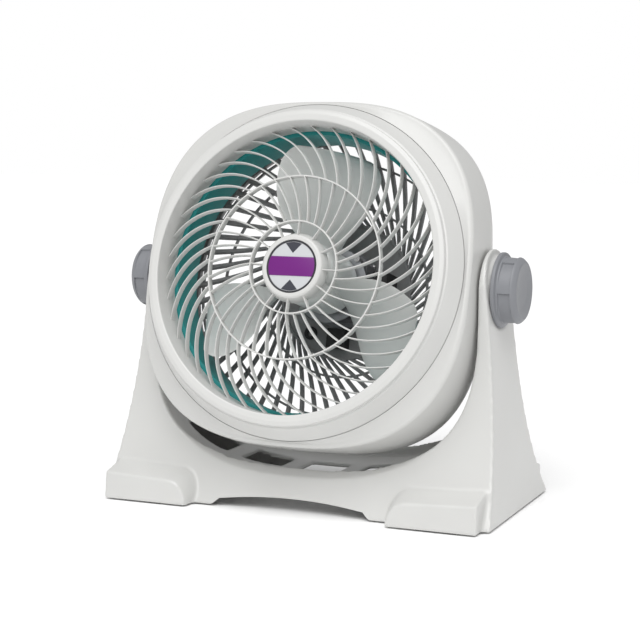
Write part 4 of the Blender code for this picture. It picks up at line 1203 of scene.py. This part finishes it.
def rounded_with_flag(points: Sequence[tuple[float, float, float, int]]) -> list[tuple[float, float, int]]:
    """Round an open profile and carry each corner's flag onto its arc's points.

    Args:
        points: (a, b, radius, flag) for each corner, in order.

    Returns:
        The rounded profile as (a, b, flag) points.
    """
    out = []
    profile = [point[:3] for point in points]
    for k, (*_, flag) in enumerate(points):
        window = profile[max(0, k - 1):k + 2]
        if len(window) < 3:
            out.append((*profile[k][:2], flag))
            continue
        arc = rounded(window, closed=False, steps=4)[1:-1]
        out += [(a, b, flag) for a, b in arc]
    return out


# ------------------------------------------------------------------ the knobs
@dataclass
class ClampKnob:
    """Clamping knob with a flange, stepped grips and a dished face."""

    side: int
    name: str
    seat: float = 0.1791
    flange_r: float = 0.0355
    radius: float = 0.0312
    length: float = 0.0232
    grips: int = 6
    step: float = 0.0017
    station: float = 0.0006
    bolt_r: float = 0.0052
    neck_r: float = 0.0100
    pocket: float = 0.0075

    def profile(self) -> Profile:
        """The knob's outer outline from its seat to the middle of its face.

        Returns:
            The (radius, x) points.
        """
        seat, face = self.seat, self.seat + self.length
        return rounded([
            (self.neck_r, seat, 0), (self.flange_r, seat, 0.0010), (self.flange_r, seat + 0.0034, 0.0014),
            (self.radius + 0.0008, seat + 0.0046, 0.0012), (self.radius, face - 0.0042, 0.0050),
            (self.radius - 0.0042, face, 0.0040), (0.0140, face - 0.0020, 0.0040),
            (0.0020, face - 0.0026, 0)], closed=False, steps=8)

    def recess(self, x: float, angles: np.ndarray) -> np.ndarray:
        """How far the stepped grips cut in at this place along the knob.

        Args:
            x: distance from the middle of the fan.
            angles: directions about the tilt axis.

        Returns:
            The depth of the cut in each direction.
        """
        low, high = self.seat + 0.0062, self.seat + self.length - 0.0060
        inside = 1.0 if low <= x <= high else 0.0
        share = (angles * self.grips / math.tau) % 1.0
        return inside * self.step * (1 - share) * (share > 0.02)

    def build(self, shop: Shop) -> None:
        """Add the knob, and dress its bolt, washer and insert.

        Args:
            shop: the materials, the repeater and the frame.
        """
        angles = around(288)
        outline: Profile = []
        section = self.profile()
        for (r0, x0), (r1, x1) in zip(section, section[1:]):
            count = max(1, int(abs(x1 - x0) / self.station))
            outline += [(r0 + (r1 - r0) * k / count, x0 + (x1 - x0) * k / count) for k in range(count)]
        outline.append(section[-1])
        pocket = self.seat + self.pocket
        rings = []
        for r, x in [(self.bolt_r, pocket), (self.neck_r, pocket)] + outline:
            cut = self.recess(x, angles) if r > self.radius - 0.001 else 0.0
            radii = np.full(angles.shape, r) - cut
            rings.append(np.stack([np.full(angles.shape, self.side * x), radii * np.cos(angles),
                                   radii * np.sin(angles)], 1))
        shop.piece(f"{self.name}_grip", skin(rings, loop=False), Paint.KNOB, f"{self.name}_knob",
                   shop.arm_place(), [f"clamp_knob_{self.name}"])
        shop.dress(Paint.STEEL, f"knob_bolt_{self.name}")
        shop.dress(Paint.RUBBER, f"friction_washer_{self.name}")
        shop.dress(Paint.BRASS, f"pivot_insert_{self.name}")


# ------------------------------------------------------------------ the stand
@dataclass
class Stand:
    """Hollow stand with two arms, a trough with vents, and four corner pads."""

    pivot_y: float
    pivot_z: float
    arm_in: float = 0.1688
    arm_out: float = 0.1768
    lean: float = 0.107
    top_r: float = 0.0385
    half_depth: float = 0.0910
    flare: float = 2.35
    rear_flare: float = 3.1
    rear_spread: float = 0.0105
    floor_depth: float = 0.1836
    rim_rise: float = 0.0120
    chamfer: float = 0.0070
    trough_half: float = 0.0620
    rim_wall: float = 0.0070
    pad_reach: float = 0.1054
    pad_inner: float = 0.1030
    pad_height: float = 0.0260
    pad_round: float = 0.0200
    arch_half: float = 0.0820
    arch_height: float = 0.0118
    ground: float = 0.0015
    wall: float = 0.0042
    knob_r: float = 0.0367
    boss_r: float = 0.0315
    seat_x: float = 0.1788
    vents: int = 5
    vent_pitch: float = 0.0605
    vent_size: tuple[float, float] = (0.0450, 0.0400)
    ledge: float = 0.0030
    reach: float = 0.13
    below: float = 0.01
    pad_draft: float = 0.12
    pad_root: float = 0.0750
    arm_hollow: float = 0.0750
    bore: float = 0.0060
    voxel: float = 0.0016
    smoothing: int = 6
    kept_share: float = 0.45

    def outer_x(self, z: float) -> float:
        """X of the arm's leaning outer face."""
        return self.arm_out + self.lean * (self.pivot_z - z)

    def depth_at(self, z: float, rear: bool = False) -> float:
        """Depth of the stand before or behind the tilt axis at this height.

        Args:
            z: the height.
            rear: whether the depth behind the axis is meant.

        Returns:
            The depth.
        """
        drop = min(1.0, max(0.0, (self.pivot_z - z) / self.pivot_z))
        base = self.half_depth + (self.rear_spread if rear else 0.0)
        return self.top_r + (base - self.top_r) * drop ** (self.rear_flare if rear else self.flare)

    def cradle(self, depth: float, half: float, steps: int = 40) -> Profile:
        """Right half of the cradle curve under the head.

        Args:
            depth: how far it lies below the tilt axis.
            half: half of its width.
            steps: parts of the curve.

        Returns:
            The curve as (x, z) points, from the middle outwards.
        """
        low = self.pivot_z - depth
        points = np.array([(0.0, low), (half * 0.77, low), (half, low + depth * 0.185),
                           (half, self.pivot_z - 0.04)])
        out = []
        for t in np.linspace(0, 1, steps + 1):
            weights = np.array([(1 - t) ** 3, 3 * (1 - t) ** 2 * t, 3 * (1 - t) * t * t, t ** 3])
            out.append(tuple(weights @ points))
        return out

    def void(self, depth: float, top: float) -> Profile:
        """Closed outline of the space between the arms."""
        right = self.cradle(depth, self.arm_in)[1:] + [(self.arm_in, top)]
        return [(-x, z) for x, z in reversed(right)] + [(0.0, self.pivot_z - depth)] + right

    def prism_y(self, outline: Profile, half: float) -> Mesh:
        """Extrude an (x, z) outline along Y, as far before the tilt axis as behind it."""
        return skin([np.array([(x, self.pivot_y + y, z) for x, z in outline]) for y in (-half, half)],
                    loop=False)

    def side(self, inset: float, low: float, capped: bool) -> Mesh:
        """The stand's side outline, extruded across it.

        Args:
            inset: how far the outline is pulled in.
            low: the height it starts at.
            capped: whether it ends flat at the tilt axis.

        Returns:
            The extruded outline.
        """
        heights = np.linspace(low, self.pivot_z, 40)
        front = [(self.pivot_y - self.depth_at(z) + inset, z) for z in heights]
        behind = [min(self.depth_at(z), self.depth_at(z, True)) if inset else self.depth_at(z, True)
                  for z in heights]
        rear = [(self.pivot_y + depth - inset, z) for depth, z in zip(behind, heights)]
        top = []
        if not capped:
            radius = self.top_r - inset
            top = [(self.pivot_y - radius * math.cos(a), self.pivot_z + radius * math.sin(a))
                   for a in np.linspace(0, math.pi, 40)[1:-1]]
        outline = front + top + rear[::-1]
        return skin([np.array([(x, y, z) for y, z in outline]) for x in (-0.3, 0.3)], loop=False)

    def pad(self, sx: int, sy: int) -> Mesh:
        """One corner pad with a curved inner end and a sloping ledge.

        Args:
            sx: -1 for the left and 1 for the right.
            sy: -1 for the front and 1 for the rear.

        Returns:
            The pad.
        """
        outer = self.outer_x(0.0) - 0.008
        inner, high = self.pad_inner, self.pad_height
        turns = np.linspace(0, math.pi / 2, 12)
        face = [(inner + self.pad_round * (1 - math.cos(a)), (high - 0.003) * math.sin(a)) for a in turns]
        face += [(outer, high), (outer, 0.0)]
        root = [(x - 0.005 if x < outer else x, z + (0.0085 if z > 0.001 else 0.0)) for x, z in face]
        rings = []
        for outline, y in ((root, self.pad_root), (face, self.pad_reach)):
            rings.append(np.array([(sx * x, self.pivot_y + sy * (y - z * self.pad_draft), self.ground + z)
                                   for x, z in outline]))
        return skin(rings, loop=False)

    def rim_cut(self, sy: int, top: float) -> Mesh:
        """Cutter that slopes the band in front of the trough's rim.

        Args:
            sy: -1 for the front and 1 for the rear.
            top: how high the cutter reaches.

        Returns:
            The cutter.
        """
        depth = self.floor_depth - self.rim_rise
        rim, cut = self.void(depth, top), self.void(depth + self.chamfer, top)
        edge = self.depth_at(self.pivot_z - depth)
        rings = [np.array([(x, self.pivot_y + sy * y, z) for x, z in shape]) for shape, y in
                 ((rim, edge - self.chamfer * 1.4), (cut, edge + 0.0012), (cut, self.half_depth + 0.02))]
        return skin(rings, loop=False)

    def cavity(self) -> Mesh:
        """The hollow under the stand and inside its arms.

        Returns:
            The hollow as a solid to cut away.
        """
        high = self.pivot_z - self.arm_hollow
        inner = [(x, z - self.wall) for x, z in self.cradle(self.floor_depth, self.arm_in + self.wall * 0.6)
                 if z - self.wall < high]
        right = [(self.outer_x(0.0) - self.wall, -self.below), (self.outer_x(high) - self.wall, high),
                 (inner[-1][0], high)] + inner[::-1]
        outline = right + [(-x, z) for x, z in reversed(right[:-1])]
        body = scratch(self.prism_y(outline, self.reach))
        self.combine(body, [("INTERSECT", self.side(self.wall, -0.02, True))])
        return evaluated_and_cleared(body)

    def trough(self, floor: Profile) -> Mesh:
        """The trough, kept inside a rim that runs on up the arms.

        Args:
            floor: outline of the space between the arms.

        Returns:
            The trough as a solid to cut away.
        """
        body = scratch(self.prism_y(floor, self.trough_half))
        self.combine(body, [("INTERSECT", self.side(self.rim_wall, -0.02, False))])
        return evaluated_and_cleared(body)

    def combine(self, body: bpy.types.Object, steps: Sequence[tuple[str, Mesh]]) -> None:
        """Add exact booleans to an object, with a temporary object for each tool.

        Args:
            body: the object that is cut or joined.
            steps: each operation with its tool, in order.
        """
        for k, (operation, mesh) in enumerate(steps):
            tool = scratch(mesh, f"tool_{body.name}_{k}")
            mod = body.modifiers.new(tool.name, "BOOLEAN")
            mod.operation = operation
            mod.solver = "EXACT"
            mod.object = tool

    def solid(self) -> Mesh:
        """Combine every shape of the stand into one sharp-edged solid.

        Returns:
            The solid, without its arch.
        """
        top = self.pivot_z + 0.06
        right = [(self.outer_x(0.0), self.ground), (self.outer_x(top), top), (self.arm_in, top)]
        right += self.cradle(self.floor_depth - self.rim_rise, self.arm_in)[::-1]
        outline = right + [(-x, z) for x, z in reversed(right[:-1])]
        body = scratch(self.prism_y(outline, self.reach), "stand_core")
        pivot = Matrix.Translation((0, self.pivot_y, self.pivot_z))

        def discs(radius: float, x0: float, x1: float) -> Mesh:
            """Two discs about the tilt axis, one on each side.

            Args:
                radius: their radius.
                x0: their inner face.
                x1: their outer face.

            Returns:
                Both discs.
            """
            both = joined([lathe_x([(radius, x0), (radius, x1)], side, 96, loop=False) for side in (-1, 1)])
            both.transform(pivot)
            return both

        slots, ledges = [], []
        floor = self.void(self.floor_depth, top)
        lx, ly = self.vent_size[0] / 2, self.vent_size[1] / 2
        for k in range(self.vents):
            x = (k - (self.vents - 1) / 2) * self.vent_pitch
            level = min(z for cx, z in floor if abs(cx - x) < lx)
            slots.append(block((x - lx + self.ledge, self.pivot_y - ly + self.ledge, self.ground + 0.002),
                               (x + lx - self.ledge, self.pivot_y + ly - self.ledge, level + 0.05)))
            ledges.append(block((x - lx, self.pivot_y - ly, level - 0.0012),
                                (x + lx, self.pivot_y + ly, level + 0.05)))
        self.combine(body, [
            ("INTERSECT", self.side(0.0, -0.004, False)),
            ("DIFFERENCE", self.rim_cut(-1, top)), ("DIFFERENCE", self.rim_cut(1, top)),
            ("DIFFERENCE", self.trough(floor)),
            ("UNION", joined([self.pad(sx, sy) for sx in (-1, 1) for sy in (-1, 1)])),
            ("DIFFERENCE", self.cavity()), ("DIFFERENCE", joined(slots)), ("DIFFERENCE", joined(ledges)),
            ("UNION", discs(self.boss_r, self.arm_in + 0.004, self.seat_x - 0.0003)),
            ("DIFFERENCE", discs(self.knob_r, self.seat_x, self.seat_x + 0.02)),
            ("DIFFERENCE", discs(self.bore, self.arm_in - 0.004, self.seat_x + 0.006))])
        return evaluated_and_cleared(body)

    def arch(self) -> Mesh:
        """The shallow arch under the front and rear edges.

        Returns:
            The arch as a solid to cut away.
        """
        span, low = self.arch_half - 0.012, self.ground
        crown = [(x, low + self.arch_height * (1 - 0.4 * (x / span) ** 2)) for x in np.linspace(0, span, 24)]
        end = [(span + 0.0045, low + self.arch_height * 0.56), (span + 0.0110, low + 0.0012),
               (span + 0.0135, low), (span + 0.0135, -self.below)]
        right = crown[1:] + end
        outline = [(-x, z) for x, z in reversed(right)] + crown[:1] + right
        return self.prism_y(outline, self.reach)

    def build(self, shop: Shop) -> None:
        """Add the stand with soft moulded edges, and its rubber feet.

        Args:
            shop: the materials, the repeater and the frame.
        """
        work = scratch(self.solid())
        remesh = work.modifiers.new("fine", "REMESH")
        remesh.mode = "VOXEL"
        remesh.voxel_size = self.voxel
        soften = work.modifiers.new("soften", "SMOOTH")
        soften.factor = 0.5
        soften.iterations = self.smoothing
        thin = work.modifiers.new("thin", "DECIMATE")
        thin.ratio = self.kept_share
        self.combine(work, [("DIFFERENCE", self.arch())])
        here = Matrix.Identity(4)
        shop.piece("stand_body", evaluated_and_cleared(work), Paint.SHELL, "stand", here, ["stand_shell"])
        for place in ("front_left", "front_right", "rear_left", "rear_right"):
            low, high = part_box(f"rubber_foot_{place}")
            foot = bevelled(block(low, high), 0.0010, 3)
            shop.piece(f"foot_{place}", foot, Paint.RUBBER, "stand", here, [f"rubber_foot_{place}"])


def evaluated_and_cleared(body: bpy.types.Object) -> Mesh:
    """Apply an object's booleans, then remove it and the tools that they used.

    Args:
        body: an object with its booleans added.

    Returns:
        Its mesh.
    """
    tools = [mod.object for mod in body.modifiers if mod.type == "BOOLEAN"]
    mesh = evaluated(body)
    for tool in tools:
        bpy.data.objects.remove(tool, do_unlink=True)
    return mesh


# ----------------------------------------------------------------- the studio
@dataclass
class Studio:
    """Pale floor, soft lights and the camera."""

    pivot: Vector
    camera_from_pivot: tuple[float, float, float] = (0.6428, -1.5009, 0.1670)
    azimuth: float = math.radians(23.37)
    elevation: float = math.radians(7.13)
    lens: float = 94.2
    floor_size: float = 14.0
    sun_power: float = 2.1
    sun_softness: float = math.radians(50)
    sun_from: tuple[float, float, float] = (0.16, -0.62, 1.20)
    sky_light: float = 0.50
    key_from: tuple[float, float, float] = (0.7, -2.1, 1.4)
    key_size: float = 0.8
    key_power: float = 6.0
    floor_roughness: float = 0.9
    sensor: float = 36.0

    def floor(self) -> None:
        """A wide plain floor."""
        half = self.floor_size / 2
        mesh = bpy.data.meshes.new("floor")
        mesh.from_pydata([(-half, -half, 0), (half, -half, 0), (half, half, 0), (-half, half, 0)], [],
                         [(0, 1, 2, 3)])
        made = scratch(mesh, "floor")
        mat = bpy.data.materials.new("floor_paint")
        mat.use_nodes = True
        preset(mat.node_tree.nodes["Principled BSDF"],
               {"Base Color": (1.0, 1.0, 1.0, 1.0), "Roughness": self.floor_roughness})
        mesh.materials.append(mat)

    def lights(self) -> None:
        """A square soft light that faces the fan, and a soft sun above it."""
        key = bpy.data.lights.new("key", "AREA")
        key.size, key.energy = self.key_size, self.key_power
        made = scratch(key, "key")
        made.location = self.key_from
        made.rotation_euler = (self.pivot - made.location).to_track_quat("-Z", "Y").to_euler()
        sun = bpy.data.lights.new("sun", "SUN")
        sun.energy, sun.angle = self.sun_power, self.sun_softness
        made = scratch(sun, "sun")
        made.rotation_euler = Vector(self.sun_from).to_track_quat("Z", "Y").to_euler()

    def sky(self) -> None:
        """A world that is white behind the fan and lights it more softly."""
        world = bpy.data.worlds.new("studio")
        world.use_nodes = True
        tree = world.node_tree
        sky = tree.nodes["Background"]
        path, level = add_nodes(tree, "ShaderNodeLightPath", "ShaderNodeMapRange")
        preset(sky, {"Color": (1.0, 1.0, 1.0, 1.0)})
        preset(level, {"To Min": self.sky_light, "To Max": 1.0})
        wire(tree, [(path, "Is Camera Ray", level, "Value"), (level, "Result", sky, "Strength")])
        bpy.context.scene.world = world

    def camera(self) -> None:
        """The camera, looking at the fan from its front right."""
        data = bpy.data.cameras.new("camera")
        data.lens, data.sensor_width = self.lens, self.sensor
        made = scratch(data, "camera")
        level = math.cos(self.elevation)
        back = Vector((math.sin(self.azimuth) * level, -math.cos(self.azimuth) * level,
                       math.sin(self.elevation)))
        made.location = self.pivot + Vector(self.camera_from_pivot)
        made.rotation_euler = back.to_track_quat("Z", "Y").to_euler()
        bpy.context.scene.camera = made

    def build(self) -> None:
        """Add the floor, the lights, the world and the camera."""
        self.floor()
        self.lights()
        bpy.context.scene.view_settings.view_transform = "Standard"
        self.sky()
        self.camera()


def main() -> None:
    """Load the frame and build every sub-assembly in order."""
    logging.basicConfig(level=logging.INFO, format="%(name)s %(message)s")
    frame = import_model()
    shop = Shop(frame)
    pivot = Vector(shop.joint("head_tilt")["pos_m"])
    shell = HeadShell()
    builders: list[Callable[[Shop], None]] = [
        shell.build, FrontGrille().build, Badge().build, Duct().build, RearGrille(shell).build, Motor().build,
        BladeWheel().build, RearControls().build, ClampKnob(-1, "left").build, ClampKnob(1, "right").build,
        Stand(pivot.y, pivot.z).build]
    for build in builders:
        build(shop)
    Studio(pivot).build()


if __name__ == "__main__":
    main()
